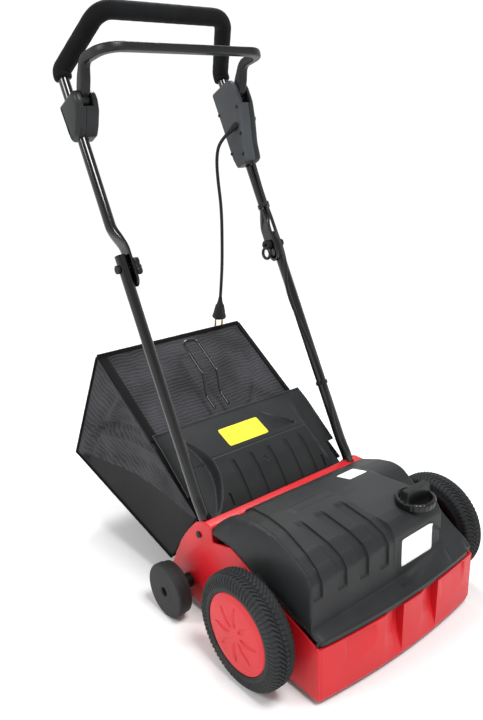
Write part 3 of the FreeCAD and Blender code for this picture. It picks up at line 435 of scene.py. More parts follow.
def flank(edge_row, outer_x, sink):
    """From the shoulder out to the side wall: a quarter ellipse for every point of the profile."""
    foot_line = rounded_rows(np.array(foot, float)[None], corner_radii, run_steps)[0]
    foot_line[:, 0] = np.where(foot_line[:, 0] < -110, edge_row[:, 1], foot_line[:, 0])
    turn = np.linspace(0, math.pi / 2, 15)[1:, None]
    out, down = np.sin(turn) ** 0.9, 1 - np.cos(turn) ** sink
    ends = np.column_stack([np.full(len(foot_line), outer_x), foot_line])[None]
    share = np.stack([out + 0 * ends[..., 0], down + 0 * ends[..., 0], down + 0 * ends[..., 0]], -1)
    return edge_row[None] * (1 - share) + ends * share


left_flank = flank(main[0], -cover_half, 0.9)[::-1]
right_flank = flank(main[-1], cover_half, 0.8)
cover_grid = np.concatenate([left_flank, main, right_flank], 0)
cover = piece("motor_cover_shell", cover_grid.reshape(-1, 3), quads(*cover_grid.shape[:2], flip=True),
              "chassis", charcoal_pp, ["motor_cover"], "black_plastic", closed=False, sharp=40)


def thicken(made, thickness, side=-1):
    """Gives an open sheet its wall, behind its faces, or in front of them where side is 1."""
    wall_modifier = made.modifiers.new("wall", "SOLIDIFY")
    wall_modifier.thickness = thickness / 1000
    wall_modifier.offset = side
    return made


thicken(cover, moulding_wall)
black_screw = material("black_phosphated_screw", "#101111", 0.5, metallic=0.5)[0]
refinish(black_screw, "deck_screws", "switch_box_screws", "fold_bolts", "bail_pins", "roller_bolts")

# ---------------- blank labels
# Two white vinyl labels, one in the recess of the cover's front and one on the ramp's top. Both are
# printed with nothing here. Each is a thin sheet with rounded corners, laid on the cover's surface.
white_vinyl = moulded("white_gloss_vinyl", "#f3f3f1", "#fafaf8", 0.3, grain=2.5, relief=0.01)
half_columns = int(np.argmax(z[len(row_x) // 2] > 215))


def superellipse(angle, power):
    """The line |u|^p + |v|^p = 1: round at 2, and a square with rounded corners at a high power."""
    u, v = np.cos(angle), np.sin(angle)
    scale = (np.abs(u) ** power + np.abs(v) ** power) ** (-1 / power)
    return u * scale, v * scale


label_thickness, label_corner = 0.35, 22


def label(title, spot, body, finish, slot, replaces=()):
    """A label: spot gives a point on the surface for each (u, v) from -1 to 1. Its grid is rings that
    grow to a rectangle with rounded corners."""
    rings, angle = 14, around(64)
    ring = np.column_stack(superellipse(angle, label_corner))
    grid = (np.linspace(0.02, 1, rings)[:, None, None] * ring[None]).reshape(-1, 2)
    faces = quads(rings, len(angle), wrap_columns=True, flip=True) + [list(range(len(angle)))]
    made = piece(title, spot(grid[:, 0], grid[:, 1]), faces, body, finish, replaces, slot, closed=False)
    thicken(made, label_thickness, 1)


def on_rows(at_x, at, key, value, part):
    """The cover's value at each x where its key equals at, read between the nearest two rows."""
    low = np.clip(np.searchsorted(row_x, at_x) - 1, 0, len(row_x) - 2)
    share = (at_x - row_x[low]) / (row_x[low + 1] - row_x[low])
    near = [np.array([np.interp(a, key[r, part], value[r, part]) for r, a in zip(low + k, at)])
            for k in (0, 1)]
    return near[0] * (1 - share) + near[1] * share


def front_spot(u, v):
    """A point on the recess: x across the label, z up it, y read from the cover."""
    at_x, at_z = 59 + 41 * u, 173.5 + 26 * v + 1.0 * u
    at_y = on_rows(at_x, at_z, yz[..., 1], yz[..., 0], slice(12, half_columns))
    return np.column_stack([at_x, at_y, at_z])


def top_spot(u, v):
    """A point on the cover's top: x and y across the label, z read from the cover."""
    at_x, at_y = 97 + 24 * u, 90 + 18 * v
    at_z = on_rows(at_x, at_y, yz[..., 0], yz[..., 1], slice(half_columns, None))
    return np.column_stack([at_x, at_y, at_z])


label("front_label", front_spot, "chassis", white_vinyl, "white_label", replaces=["blank_labels"])
label("top_label", top_spot, "chassis", white_vinyl, "white_label")

# ---------------- motor, belt, drum and axle
# The working parts under the cover keep their machined shapes: an iron motor can, alloy pulleys, a rubber
# belt, a steel drum with spring-steel tines, and a zinc-plated axle with its clips, yoke and brackets.
zinc = metal("zinc_plated_steel", "#8f9296", "#a9acb0", 0.36, 0.02)
spring_steel = metal("blued_spring_steel", "#4b4d52", "#6b6d72", 0.34, 0.02)
cast_alloy = metal("cast_aluminium_alloy", "#9a9b9c", "#b5b6b7", 0.45, 0.05)
motor_iron = metal("painted_motor_iron", "#2a2b2d", "#3b3c3e", 0.5, 0.04)
brass = metal("nickel_plated_brass", "#b99a5b", "#cdb277", 0.28, 0.01)
belt_rubber = moulded("neoprene_belt", "#1d1d1e", "#29292a", 0.75, grain=0.8, relief=0.08)
red_cap = moulded("red_moulded_polypropylene", "#c21c24", "#cd2a31", 0.42, grain=0.9, relief=0.03, ior=1.49,
                  subsurface_weight=0.06)
black_pp = moulded("black_moulded_polypropylene", "#141516", "#1c1d1e", 0.42, grain=1.0, relief=0.04,
                   ior=1.49)
refinish(zinc, "front_axle", "axle_clips", "lift_yoke", "motor_brackets",
         "flap_hinge_rod", "knob_spindle", "drum_bearings")
refinish(spring_steel, "spring_tines", "drum_shaft", "drum_spacers")
refinish(cast_alloy, "drum_pulley", "motor_pulley")
refinish(motor_iron, "motor_housing", "motor_armature")
refinish(belt_rubber, "drive_belt")
refinish(black_pp, "motor_fan", "front_rim_left", "front_rim_right", "cable_clip_upper",
         "cable_clip_lower", "cable_gland", "switch_unit")
refinish(brass, "plug_pins")

# ---------------- front wheels
# Rubber tyres with radial side ribs that turn into slanted tread blocks over the shoulder, on black
# rims, each closed by a domed red cap with eight leaf-shaped hollows. They turn on the axle.
tyre_rubber = moulded("dusty_tyre_rubber", "#1e2021", "#2c2e2f", 0.72, grain=1.1, relief=0.1)
hub_face, wheel_radius = 268.5, 100
tyre_low, tyre_high = hub_face - 46, hub_face - 2
tyre_middle, tyre_bead = (tyre_low + tyre_high) / 2, 71.5
tyre_outline = rounded([(tyre_low, tyre_bead), (tyre_low, 91), (tyre_low + 9, wheel_radius),
                        (tyre_high - 9, wheel_radius), (tyre_high, 91), (tyre_high, tyre_bead)],
                       [2, 7, 14, 14, 7, 2], steps=9)
tyre_line = along(np.vstack([tyre_outline, tyre_outline[:1]]), 97)[:-1]
tread_count, row_edge = 74, 4.5


def turned(outline, middle_y, middle_z, side, count=96, shape=None, loop=True):
    """An (x, radius) line turned about an X axis. shape may change x and radius by angle. Without loop
    the line ends near the axis at both ends, where a small face closes it."""
    outline = np.asarray(outline, float)
    angle = around(count)[:, None]
    x, radius = outline[None, :, 0] + 0 * angle, outline[None, :, 1] + 0 * angle
    if shape:
        x, radius = shape(x, radius, angle)
    points = np.stack([side * x, middle_y + radius * np.cos(angle), middle_z + radius * np.sin(angle)], -1)
    faces = quads(count, len(outline), wrap_rows=True, wrap_columns=loop)
    if not loop:
        faces += [[r * len(outline) + end for r in range(count)] for end in (0, len(outline) - 1)]
    return points.reshape(-1, 3), faces


def treads(x, radius, angle):
    """The tyre's surface drops into a groove where a sawtooth of the angle, sheared across the tread,
    falls in its gap. Two wavy channels part the tread's three rows of blocks."""
    w = x - tyre_middle
    tread = smooth(95.5, 98.5, radius)
    slant = np.where(w > row_edge, 0.13 * (w - 13),
                     np.where(np.abs(w) <= row_edge, 0.5 - 0.06 * w, -0.13 * (w + 13)))
    phase = (tread_count * angle / (2 * math.pi) + tread * slant) % 1
    gap = smooth(0.0, 0.09, phase) * smooth(0.42, 0.33, phase)
    wave = 1.2 * np.sin(tread_count * angle)
    channel = np.maximum(smooth(1.7, 1.0, np.abs(w - row_edge - wave)),
                         smooth(1.7, 1.0, np.abs(w + row_edge + wave)))
    depth = np.maximum(gap * (1.5 + 1.3 * tread) * smooth(76.5, 79.5, radius), channel * 2.6 * tread)
    toward = unit(np.stack([tyre_middle - x, 80.0 - radius], -1)) * depth[..., None]
    return x + toward[..., 0], radius + toward[..., 1]


def petals(x, radius, angle):
    """Eight leaf-shaped hollows round the cap's middle, widest halfway out."""
    reach = np.clip((radius - 13) / 37, 0, 1)
    half_width = 7.6 * np.sin(math.pi * reach ** 0.85)
    offset = radius * np.abs((angle * 8 / (2 * math.pi) + 0.5) % 1 - 0.5) * 2 * math.pi / 8
    leaf = smooth(1.0, 0.1, offset / np.maximum(half_width, 0.1)) * (reach > 0) * (reach < 1)
    return x - 1.9 * leaf, radius


cap_line = rounded([(hub_face - 8.5, 0.01), (hub_face - 8.5, 69.5), (hub_face - 3.4, 69.5),
                    (hub_face - 1.3, 58), (hub_face, 30), (hub_face, 0.01)],
                   [0, 1, 2.2, 40, 60, 0], closed=False)
cap_line = np.vstack([cap_line[:10], along(cap_line[10:], 60)])
for word, side in (("left", -1), ("right", 1)):
    tyre = turned(tyre_line, 0, wheel_radius, side, tread_count * 11, treads)
    piece("front_tyre_tread_" + word, *tyre, "front_wheel_" + word, tyre_rubber,
          ["front_tyre_" + word], "tyre_rubber", sharp=50)
    cap = turned(cap_line, 0, wheel_radius, side, 192, petals, loop=False)
    piece("hub_cap_face_" + word, *cap, "front_wheel_" + word, red_cap, ["hub_cap_" + word], "hub_red")

# ---------------- rear rollers
# Two small hard-rubber rollers on shoulder bolts. Each has a flat face with a rounded edge, a raised
# ring round its bolt recess, and a tread in two steps.
roller_radius, roller_y = 52.5, 222.0
roller_line = rounded([(227.5, 6.4), (227.5, 46), (229.5, 50), (240, 50.3), (241, 52.3), (254, 52.3),
                       (257, 49.5), (257, 21), (257.5, 19.5), (257.5, 9.5), (255.5, 8.6), (245.5, 8.6),
                       (245.5, 6.4)], [0.5, 3, 2, 0.6, 0.6, 3, 3, 0.5, 0.5, 1, 1, 0.3, 0.3])
roller_rubber = moulded("hard_roller_rubber", "#1c1d1e", "#272829", 0.62, grain=1.2, relief=0.08)
for word, side in (("left", -1), ("right", 1)):
    roller = turned(roller_line, roller_y, roller_radius, side, 128)
    piece("rear_roller_tyre_" + word, *roller, "rear_roller_" + word, roller_rubber,
          ["rear_roller_" + word], "tyre_rubber")

# ---------------- depth knob
# A black glass-filled nylon knob that screws the front axle up and down: a round skirt with a scalloped
# rim, and a tall finger bar with hollows on both sides.
knob_x, knob_y, knob_base, rim_height, rim_radius = 80.0, -72.0, 236.4, 13.5, 31.5
knob_black = moulded("black_glass_filled_nylon", "#0d0e0e", "#151617", 0.34, grain=0.9, relief=0.03,
                     ior=1.53)


def knob_surface():
    """Rings of a skirt that rises to a flat rim, then a dish that a bar crosses: the height inside the
    rim is the higher of the dish and of the bar's rounded ridge."""
    angle = around(180)[:, None]
    skirt = rounded([(34.5, 0), (36.5, 11), (33.5, rim_height), (rim_radius, rim_height)],
                    [0, 2.5, 1.2, 0], closed=False, steps=5)
    inner = np.linspace(31.2, 0.3, 70)
    radius = np.concatenate([skirt[:, 0], inner])[None, :] + 0 * angle
    height = np.concatenate([skirt[:, 1], rim_height + 0 * inner])[None, :] + 0 * angle
    radius = radius - 0.7 * smooth(33, 34.4, radius) * (0.5 + 0.5 * np.cos(24 * angle)) ** 3
    u, v = radius * np.cos(angle), radius * np.sin(angle)
    dish = rim_height - 8.5 * smooth(31, 24, radius)
    bar = smooth(8.6, 6.4, np.abs(v)) * smooth(31.3, 28.6, np.abs(u))
    height = np.where(radius < rim_radius, np.maximum(dish, dish + (31.5 - dish) * bar), height)
    points = np.stack([knob_x + u, knob_y + v, knob_base + height], -1)
    rows, columns = points.shape[:2]
    faces = quads(rows, columns, wrap_rows=True)
    faces += [[r * columns + end for r in range(rows)] for end in (0, columns - 1)]
    return points.reshape(-1, 3), faces


piece("depth_knob_body", *knob_surface(), "depth_knob", knob_black, ["depth_knob"], "black_plastic")

# ---------------- rear flap
# One black polypropylene moulding, hinged on a rod behind the crossbar. It rises in a hump in the middle,
# with a sunken field on the right, pressed channels and slots in its lower curve, and a bead round it.
# Its outer strips start higher up, past the handle's feet.
flap_edge = rounded([(184, 186), (193, 190.5), (228, 219.7), (309, 286), (338, 305)],
                    [0, 12, 60, 60, 0], closed=False)
flap_hump = rounded([(184, 186), (197, 207), (222, 239), (249, 262), (289, 281), (338, 305)],
                    [0, 60, 60, 50, 90, 0], closed=False)
flap_half, flap_count, foot_half, side_starts = 189.5, 120, 167.3, 0.285
channel_edges, channel_top, slot_xs = (-71, -26, 19, 64, 104), 0.46, (-114, 127)
flap_x = np.unique(np.round(np.concatenate(
    [np.linspace(-flap_half, -105, 64), np.linspace(-105, flap_half, 150), [-167.6, -167, 167, 167.6]]
    + [edge + np.array([-11.5, -10.5, -9.5, -0.9, -0.3, 0.3]) for edge in channel_edges]
    + [middle + np.array([-2.6, -1.9, 1.9, 2.6]) for middle in slot_xs]), 2))
share = np.linspace(0, 1, flap_count)
flap_rows = along(flap_edge, flap_count), along(flap_hump, flap_count)
grid_x, grid_t = np.meshgrid(flap_x, share, indexing="ij")
grid_t = np.where(np.abs(grid_x) > foot_half, side_starts + (1 - side_starts) * grid_t, grid_t)
left_edge = 152 - 36 * np.sin(math.pi * np.clip((grid_t - 0.02) / 0.9, 0, 1)) ** 0.8
right_edge = 150 - 10 * np.sin(math.pi * grid_t)
hump = np.where(grid_x < 0, smooth(-left_edge - 7, -left_edge + 3, grid_x),
                smooth(right_edge + 10, right_edge - 14, grid_x))[..., None]
edge_yz, hump_yz = (np.stack([np.interp(grid_t, share, row[:, k]) for k in (0, 1)], -1)
                    for row in flap_rows)
flap_yz = edge_yz * (1 - hump) + hump_yz * hump
slope = unit(np.gradient(flap_yz, axis=1))
down = np.stack([slope[..., 1], -slope[..., 0]], -1)


def within(low, high, soft, value):
    """1 between low and high, with a smooth step to 0 inside each end."""
    return smooth(low, low + soft, value) * smooth(high, high - soft, value)


dent = np.zeros_like(grid_x)
for edge in channel_edges:
    up = smooth(edge - 11.5, edge - 9.5, grid_x) * smooth(edge + 0.3, edge - 0.9, grid_x)
    dent += (2.6 * up * smooth(channel_top, channel_top - 0.02, grid_t)
             * (0.35 + 0.65 * smooth(edge - 10, edge, grid_x)))
for middle in slot_xs:
    dent += 3.5 * smooth(2.6, 1.9, np.abs(grid_x - middle)) * within(0.02, 0.16, 0.02, grid_t)
dent += 3.5 * smooth(2.4, 1.6, np.abs(grid_x + 4)) * within(0.3, 0.37, 0.02, grid_t)
dent += smooth(0.012, 0.0, np.abs(grid_t - 0.53)) * (np.abs(grid_x) < 150)
rise = np.clip((grid_t - 0.6) / 0.3, 0, 1)
field = smooth(58 - 8 * rise, 61 - 8 * rise, grid_x) * smooth(116 - 62 * rise, 112 - 62 * rise, grid_x)
dent += 7.0 * (1 - rise) * field * smooth(0.59, 0.605, grid_t)
bead = np.maximum(smooth(flap_half - 5, flap_half - 1.5, np.abs(grid_x)), smooth(0.975, 0.99, grid_t))
dent -= 1.8 * bead * (grid_t > 0.03)
flap_yz = flap_yz + down * dent[..., None]
flap_black = moulded("flap_moulded_polypropylene", "#1c1e1f", "#262829", 0.46, relief=0.06, ior=1.49)
flap_points = np.dstack([grid_x, flap_yz]).reshape(-1, 3)
flap = piece("rear_flap_panel", flap_points, quads(*grid_x.shape, flip=True), "rear_flap", flap_black,
             ["rear_flap"], "black_plastic", closed=False, sharp=38)
thicken(flap, moulding_wall)
hinge_middle, knuckle_radius = (180, 186), 4.6
knuckle = slab(circle(hinge_middle, knuckle_radius, around(24)), -167, 167, 0.6, 0.6)
piece("rear_flap_knuckle", *knuckle, "rear_flap", flap_black, slot="black_plastic")

yellow_vinyl = moulded("yellow_warning_vinyl", "#f2e33a", "#f7ea4c", 0.34, grain=2.5, relief=0.01)


def flap_spot(u, v):
    """A point on the hump's upper slope: x across the label, the rest read along the flap."""
    at_x, at_t = -10 + 50 * u, 0.70 + 0.115 * v
    row = np.clip(np.searchsorted(flap_x, at_x), 0, len(flap_x) - 1)
    spots = [[np.interp(t, grid_t[r], flap_yz[r, :, k]) for k in (0, 1)] for r, t in zip(row, at_t)]
    return np.column_stack([at_x, np.array(spots)])


label("warning_label", flap_spot, "rear_flap", yellow_vinyl, "yellow_label", replaces=["flap_label"])

# ---------------- catcher bag
# A sewn bag over a welded wire frame: the top and the upper sides are polyester mesh that lets the air
# out, the rest is coated black cloth, and woven tape binds every seam. It sags between its wires.
mouth = np.array([(-185, 208, 184), (185, 208, 184), (190, 294, 61), (-190, 294, 61)], float)
back = np.array([(-186, 540, 412), (186, 540, 412), (200, 652, 162), (-200, 652, 162)], float)


def cloth(title, colour, light, thread, relief, roughness, openness=0.0):
    """A plain weave on the piece's own UV map, in metres: two crossed waves of the thread spacing, drawn
    coarser than the real threads so that they show, with slow wear and dust over it."""
    made, tree, shader, where = material(title, colour, roughness, specular_ior_level=0.12,
                                         sheen_weight=0.06, sheen_roughness=0.5)
    uv = add(tree, "UVMap", uv_map="UVMap").outputs["UV"]
    bent = add(tree, "TexNoise", {"Vector": uv, "Scale": 9.0, "Detail": 2.0})
    shifted = add(tree, "Mix", {0: 0.0035, 4: uv, 5: bent.outputs["Color"]}, data_type="VECTOR").outputs[1]

    def wave(spacing, way, **more):
        inputs = {"Vector": shifted, "Scale": math.pi / 10 * 1000 / spacing, **more}
        return add(tree, "TexWave", inputs, bands_direction=way).outputs["Fac"]

    def reckon(operation, *values):
        return add(tree, "Math", dict(enumerate(values)), operation=operation).outputs[0]

    weave = reckon("MULTIPLY", *(wave(thread, way, Distortion=0.4) for way in "XY"))
    worn = reckon("MULTIPLY_ADD", weave, 0.75, noise(tree, where, 14.0, 5.0))
    swirl = wave(thread * 2.9, "Y", **{"Distortion": 5.0, "Detail": 2.0, "Detail Scale": 0.9})
    tone = mapped(tree, reckon("MULTIPLY_ADD", swirl, 0.35, worn), (0.4, 1.35))
    tree.links.new(tint(tree, tone, colour, light), shader.inputs["Base Color"])
    if openness:
        tree.links.new(mapped(tree, weave, (0, 0.12), (1 - openness, 1)), shader.inputs["Alpha"])
    bumped(tree, shader, weave, 0.6, relief)
    return made


bag_mesh = cloth("polyester_bag_mesh", "#131315", "#4a4a4e", 2.7, 0.5, 0.8)
bag_cloth = cloth("coated_bag_cloth", "#0c0c0d", "#191a1b", 1.6, 0.15, 0.6)
bag_tape = cloth("woven_binding_tape", "#080808", "#161617", 2.0, 0.4, 0.85)


def panel(corners, count, sag, creases):
    """A four-cornered panel: a bilinear patch that sags along its normal by a sine each way, with
    creases, each a narrow valley along a line from one (u, v) to another."""
    u, v = np.meshgrid(np.linspace(0, 1, count), np.linspace(0, 1, count), indexing="ij")
    a, b, c, d = corners
    points = (a * ((1 - u) * (1 - v))[..., None] + b * (u * (1 - v))[..., None]
              + c * (u * v)[..., None] + d * ((1 - u) * v)[..., None])
    normal = np.cross(b - a, d - a)
    normal = normal / np.linalg.norm(normal)
    drop = sag * np.sin(math.pi * u) * np.sin(math.pi * v)
    for (u1, v1), (u2, v2), depth, width in creases:
        run = np.array([u2 - u1, v2 - v1])
        place_along = ((u - u1) * run[0] + (v - v1) * run[1]) / (run @ run)
        off = np.abs((u - u1) * run[1] - (v - v1) * run[0]) / np.linalg.norm(run)
        fade = smooth(-0.08, 0.12, place_along) * smooth(1.08, 0.88, place_along)
        edge = np.minimum(np.minimum(u, 1 - u), np.minimum(v, 1 - v))
        drop = drop + depth * fade * np.exp(-(off / width) ** 2) * smooth(0, 0.06, edge)
    points = points - normal * drop[..., None]
    size = (np.linalg.norm(b - a), np.linalg.norm(d - a))
    uv = np.stack([u * size[0], v * size[1]], -1).reshape(-1, 2) / 1000
    return points, uv


top_creases = [((0.30, 0.02), (0.86, 0.62), 7, 0.018), ((0.86, 0.62), (0.98, 0.98), 6, 0.02),
               ((0.05, 0.30), (0.62, 0.46), 6, 0.016), ((0.62, 0.46), (0.98, 0.36), 6, 0.018),
               ((0.02, 0.42), (0.5, 0.36), 4, 0.016), ((0.7, 0.3), (0.8, 0.95), -4, 0.05),
               ((0.62, 0.46), (0.9, 0.05), 5, 0.015), ((0.12, 0.05), (0.58, 0.44), 4, 0.015),
               ((0.35, 0.5), (0.45, 0.98), -2.5, 0.06), ((0.1, 0.55), (0.2, 0.95), 2, 0.03)]
side_creases = [((0.52, 0.02), (0.98, 0.7), 6, 0.02), ((0.62, 0.02), (0.97, 0.86), 7, 0.024),
                ((0.72, 0.03), (0.98, 0.93), -6, 0.02), ((0.4, 0.05), (0.86, 0.62), -5, 0.022),
                ((0.8, 0.05), (0.9, 0.97), 6, 0.03), ((0.3, 0.1), (0.9, 0.95), 4, 0.04)]
mirrored = [((1 - a, b), (1 - c, d), depth, width) for (a, b), (c, d), depth, width in side_creases]
bottom_creases = [((0.2, 0.1), (0.3, 0.9), 4, 0.05), ((0.7, 0.05), (0.6, 0.95), 4, 0.06)]
back_creases = [((0.1, 0.1), (0.5, 0.9), 4, 0.04), ((0.9, 0.1), (0.5, 0.9), 4, 0.04)]
side_count, top_count, cloth_thickness, bag = 72, 110, 0.8, {}
for name, corners, sag, creases, finish, count in (
        ("top_mesh", (mouth[0], mouth[1], back[1], back[0]), 13, top_creases, bag_mesh, top_count),
        ("left_side", (mouth[0], back[0], back[3], mouth[3]), 9, side_creases, bag_mesh, side_count),
        ("right_side", (back[1], mouth[1], mouth[2], back[2]), 9, mirrored, bag_mesh, side_count),
        ("bottom", (mouth[2], mouth[3], back[3], back[2]), -6, bottom_creases, bag_cloth, side_count),
        ("back", back, -5, back_creases, bag_cloth, side_count)):
    points, uv = panel(corners, count, sag, creases)
    made = piece("bag_" + name, points.reshape(-1, 3), quads(count, count, flip=True), "catcher", finish,
                 ["catcher_bag"] if name == "top_mesh" else (), "bag_cloth", uv, closed=False, sharp=60)
    bag[name] = thicken(made, cloth_thickness), points

# The lower part of each side is solid cloth, up to a line that falls towards the mouth.
for name in ("left_side", "right_side"):
    materials, polygons = bag[name][0].data.materials, bag[name][0].data.polygons
    materials.append(bag_cloth)
    cell = np.arange(side_count - 1) / (side_count - 1)
    u, v = np.meshgrid(cell, cell, indexing="ij")
    solid = v > 0.98 * (u if name == "left_side" else 1 - u) ** 0.8 + 0.03
    polygons.foreach_set("material_index", solid.ravel().astype(np.int32))


def frames(path):
    """Two directions across a path at each point, that turn with it as little as they can."""
    tangent = unit(np.gradient(path, axis=0))
    start = np.array([1.0, 0, 0]) if abs(tangent[0, 0]) < 0.9 else np.array([0, 0, 1.0])
    first = []
    for direction in tangent:
        start = unit(start - (start @ direction) * direction)
        first.append(start)
    return np.array(first), np.cross(tangent, first)


def carried(path, half_a, half_b, power=2.0, count=20):
    """A superellipse carried along a path, half_a by half_b at each station, closed by flat ends."""
    path = np.asarray(path, float)
    first, second = frames(path)
    half_a, half_b, power = (np.broadcast_to(value, len(path))[:, None]
                             for value in (half_a, half_b, power))
    across, up = superellipse(around(count)[None], power)
    a, b = half_a * across, half_b * up
    points = path[:, None] + first[:, None] * a[..., None] + second[:, None] * b[..., None]
    faces = quads(len(path), count, wrap_columns=True)
    faces += [list(range(count)), list(range((len(path) - 1) * count, len(path) * count))]
    return points.reshape(-1, 3), faces


# The binding is woven tape folded over each seam: a flattened tube, given by its width and half thickness.
grids = {name: grid for name, (made, grid) in bag.items()}
top, left, right, lift = grids["top_mesh"], grids["left_side"], grids["right_side"], (0, -0.5, 1.0)
seams = [carried(path, width / 2, thickness, 2.6, 12) for path, width, thickness in (
    (top[:, -1], 13, 3.2), (top[3], 22, 1.3), (top[-1], 12, 3.0), (left[-1], 9, 2.6), (right[0], 9, 2.6),
    (grids["back"][:, -1], 9, 2.6), (left[:, -1], 7, 2.4), (right[:, -1], 7, 2.4),
    (top[:, 20] + lift, 5, 0.7), (top[:, 48] + lift, 3, 0.6))]
points, faces = joined(*seams)
seam_uv = np.column_stack([points[:, 0] + points[:, 2], points[:, 1]]) / 1000
bag_binding = piece("bag_binding", points, faces, "catcher", bag_tape, slot="bag_cloth", uv=seam_uv,
                    sharp=60)
for name in ("left_side", "right_side", "bottom", "back", "top_mesh"):
    made, grid = bag[name]

# ---------------- bag wires and carrying handle
# Round steel wire, bent and powder coated black. The carrying handle is one bent loop of it.
black_coat = moulded("black_powder_coat", "#060607", "#0b0c0c", 0.14, grain=0.7, relief=0.006, ior=1.5,
                     coat_weight=0.6, coat_roughness=0.1,
                     specular_ior_level=0.3)
refinish(black_coat, "bag_frame", "lower_tube_left", "lower_tube_right")
carry_half, carry_wire = 18.0, 3.0
carry_line = [(366, 306.5), (394, 325), (403, 371), (475, 424)]
carry = [(-carry_half, y, z) for y, z in carry_line] + [(carry_half, y, z) for y, z in carry_line[::-1]]
carry_path = rounded(carry, [0, 14, 14, 12, 12, 14, 14, 0], closed=False)
piece("bag_carry_loop", *carried(carry_path, carry_wire, carry_wire, count=16), "catcher", black_coat,
      ["bag_carry_handle"], "black_wire", sharp=60)

# ---------------- handle tubes and foam grip
# The upper handle is one steel tube, black powder coated. Its two ends are pressed flat where they
# bolt to the lower tubes, and a closed-cell foam sleeve covers the grip.
fold_y, fold_z, lean = 402.394, 617.37, math.radians(27)
tube_x, tube_radius = 186.5, 10.5


def on_handle(x, along_tube, forward):
    """A point at x, so far up the handle from the fold, and so far forward of its tube's middle line."""
    return (x, fold_y + along_tube * math.sin(lean) - forward * math.cos(lean),
            fold_z + along_tube * math.cos(lean) + forward * math.sin(lean))


lug_stations = np.array([-37, -36.6, -35.5, -33.5, -31, -28, -25, -22, -12, 0, 20, 32, 36, 40, 44, 48, 52, 56,
                         60, 64, 68, 72, 76, 80, 84, 90, 150, 250, 350], float)
leg = np.array([on_handle(-172 - 14.5 * smooth(32, 84, a), a, 0) for a in lug_stations])
grip_corners = [leg[-1], on_handle(-tube_x, 388, 0), (-140, 502.5, 1063), (140, 502.5, 1063),
                on_handle(tube_x, 388, 0), leg[-1] * (-1, 1, 1)]
grip_bend = rounded(grip_corners, [0, 30, 38, 38, 30, 0], closed=False, steps=11)[1:-1]
tube_path = np.vstack([leg, grip_bend, (leg * (-1, 1, 1))[::-1]])
flat = 1 - smooth(36, 80, lug_stations)
end_round = np.sqrt(np.maximum(1 - (np.minimum(lug_stations + 22, 0) / 15) ** 2, 0.003))
leg_half = (tube_radius - flat * (tube_radius - 3), (tube_radius + flat * (15 - tube_radius)) * end_round,
            2 + 4 * flat)
tube_half = [np.concatenate([half, np.full(len(grip_bend), half[-1]), half[::-1]]) for half in leg_half]
piece("upper_tube_bent", *carried(tube_path, *tube_half, count=32), "upper_handle", black_coat,
      ["upper_tube"], "tube_paint", sharp=40)

foam_rubber = moulded("closed_cell_foam", "#0b0b0c", "#161718", 0.85, grain=1.6, relief=0.25,
                      sheen_weight=0.04, specular_ior_level=0.1)
foam_start, foam_radius, foam_count = 371, 17, 220
foam_corners = [on_handle(-tube_x, foam_start, 0), *grip_corners[1:5], on_handle(tube_x, foam_start, 0)]


def even(corners, radii, steps, count):
    """A rounded open line as count even points, and each point's distance from the nearer end."""
    line = along(rounded(corners, radii, closed=False, steps=steps), count)
    length = np.linalg.norm(np.diff(line, axis=0), axis=1).sum()
    return line, np.minimum(np.linspace(0, length, count), np.linspace(length, 0, count))


foam_path, from_end = even(foam_corners, [0, 30, 38, 38, 30, 0], 11, foam_count)
foam_half = foam_radius - 4.5 * (1 - np.sqrt(1 - np.clip(1 - from_end / 5, 0, 0.999) ** 2))
foam_half -= 0.1 * np.sin(np.linspace(0, 46 * math.pi, foam_count)) * smooth(10, 40, from_end)
foam = piece("foam_sleeve", *carried(foam_path, foam_half, foam_half, count=36), "upper_handle",
             foam_rubber, ["foam_grip"], "foam", sharp=60)

# ---------------- housings
# Two clamshell housings close round the tube below the grip: the larger holds the switch, the other
# the bail's pivot. Each has an inner half and a domed outer half, with a seam between: the switch housing's
# inner half is lighter grey, the rest is charcoal.
switch_outline = [(178, -14), (178, 24), (215, 30), (262, 47), (296, 56), (332, 56), (350, 44), (350, -19),
                  (200, -19)]
pivot_outline = [(252, -13), (252, 12), (264, 27), (286, 46), (304, 52), (318, 51), (328, 42), (328, -18),
                 (272, -18)]
housing_grey = moulded("mid_grey_moulded_abs", "#34373a", "#3f4245", 0.44, grain=1.1, relief=0.04, ior=1.53)
housing_black = moulded("charcoal_moulded_abs", "#17191a", "#212324", 0.4, grain=1.1, relief=0.04, ior=1.53)
inner_x, split_x, outer_x, seam_half = 160.0, 186.5, 205.0, 0.3
slot_near, slot_far, slot_low, slot_high, slot_behind, slot_ahead = 171, 192, 293, 420, 14, 90


def handle_line(outline, radii):
    """(along, forward) corners as a rounded (y, z) line in the handle's plane."""
    flat_line = rounded(outline, radii, steps=9)
    return np.array([on_handle(0, a, f)[1:] for a, f in flat_line])


def cut(made, low, high):
    """Cuts an X-aligned box, given in x, along and forward, out of a piece of the handle."""
    points = [on_handle(x, a, f) for x in (low[0], high[0]) for a in (low[1], high[1])
              for f in (low[2], high[2])]
    faces = [(0, 1, 3, 2), (4, 6, 7, 5), (0, 4, 5, 1), (2, 3, 7, 6), (0, 2, 6, 4), (1, 5, 7, 3)]
    mesh = bpy.data.meshes.new("cutter")
    mesh.from_pydata(place(points).tolist(), [], faces)
    tool = shown("cutter", mesh)
    step = made.modifiers.new("slot", "BOOLEAN")
    step.object, step.operation, step.solver = tool, "DIFFERENCE", "EXACT"
    bpy.context.view_layer.update()
    baked = bpy.data.meshes.new_from_object(made.evaluated_get(bpy.context.evaluated_depsgraph_get()))
    made.modifiers.clear()
    made.data = baked
    made.data.shade_smooth()
    made.data.set_sharp_from_angle(angle=math.radians(35))
    bpy.data.objects.remove(tool)


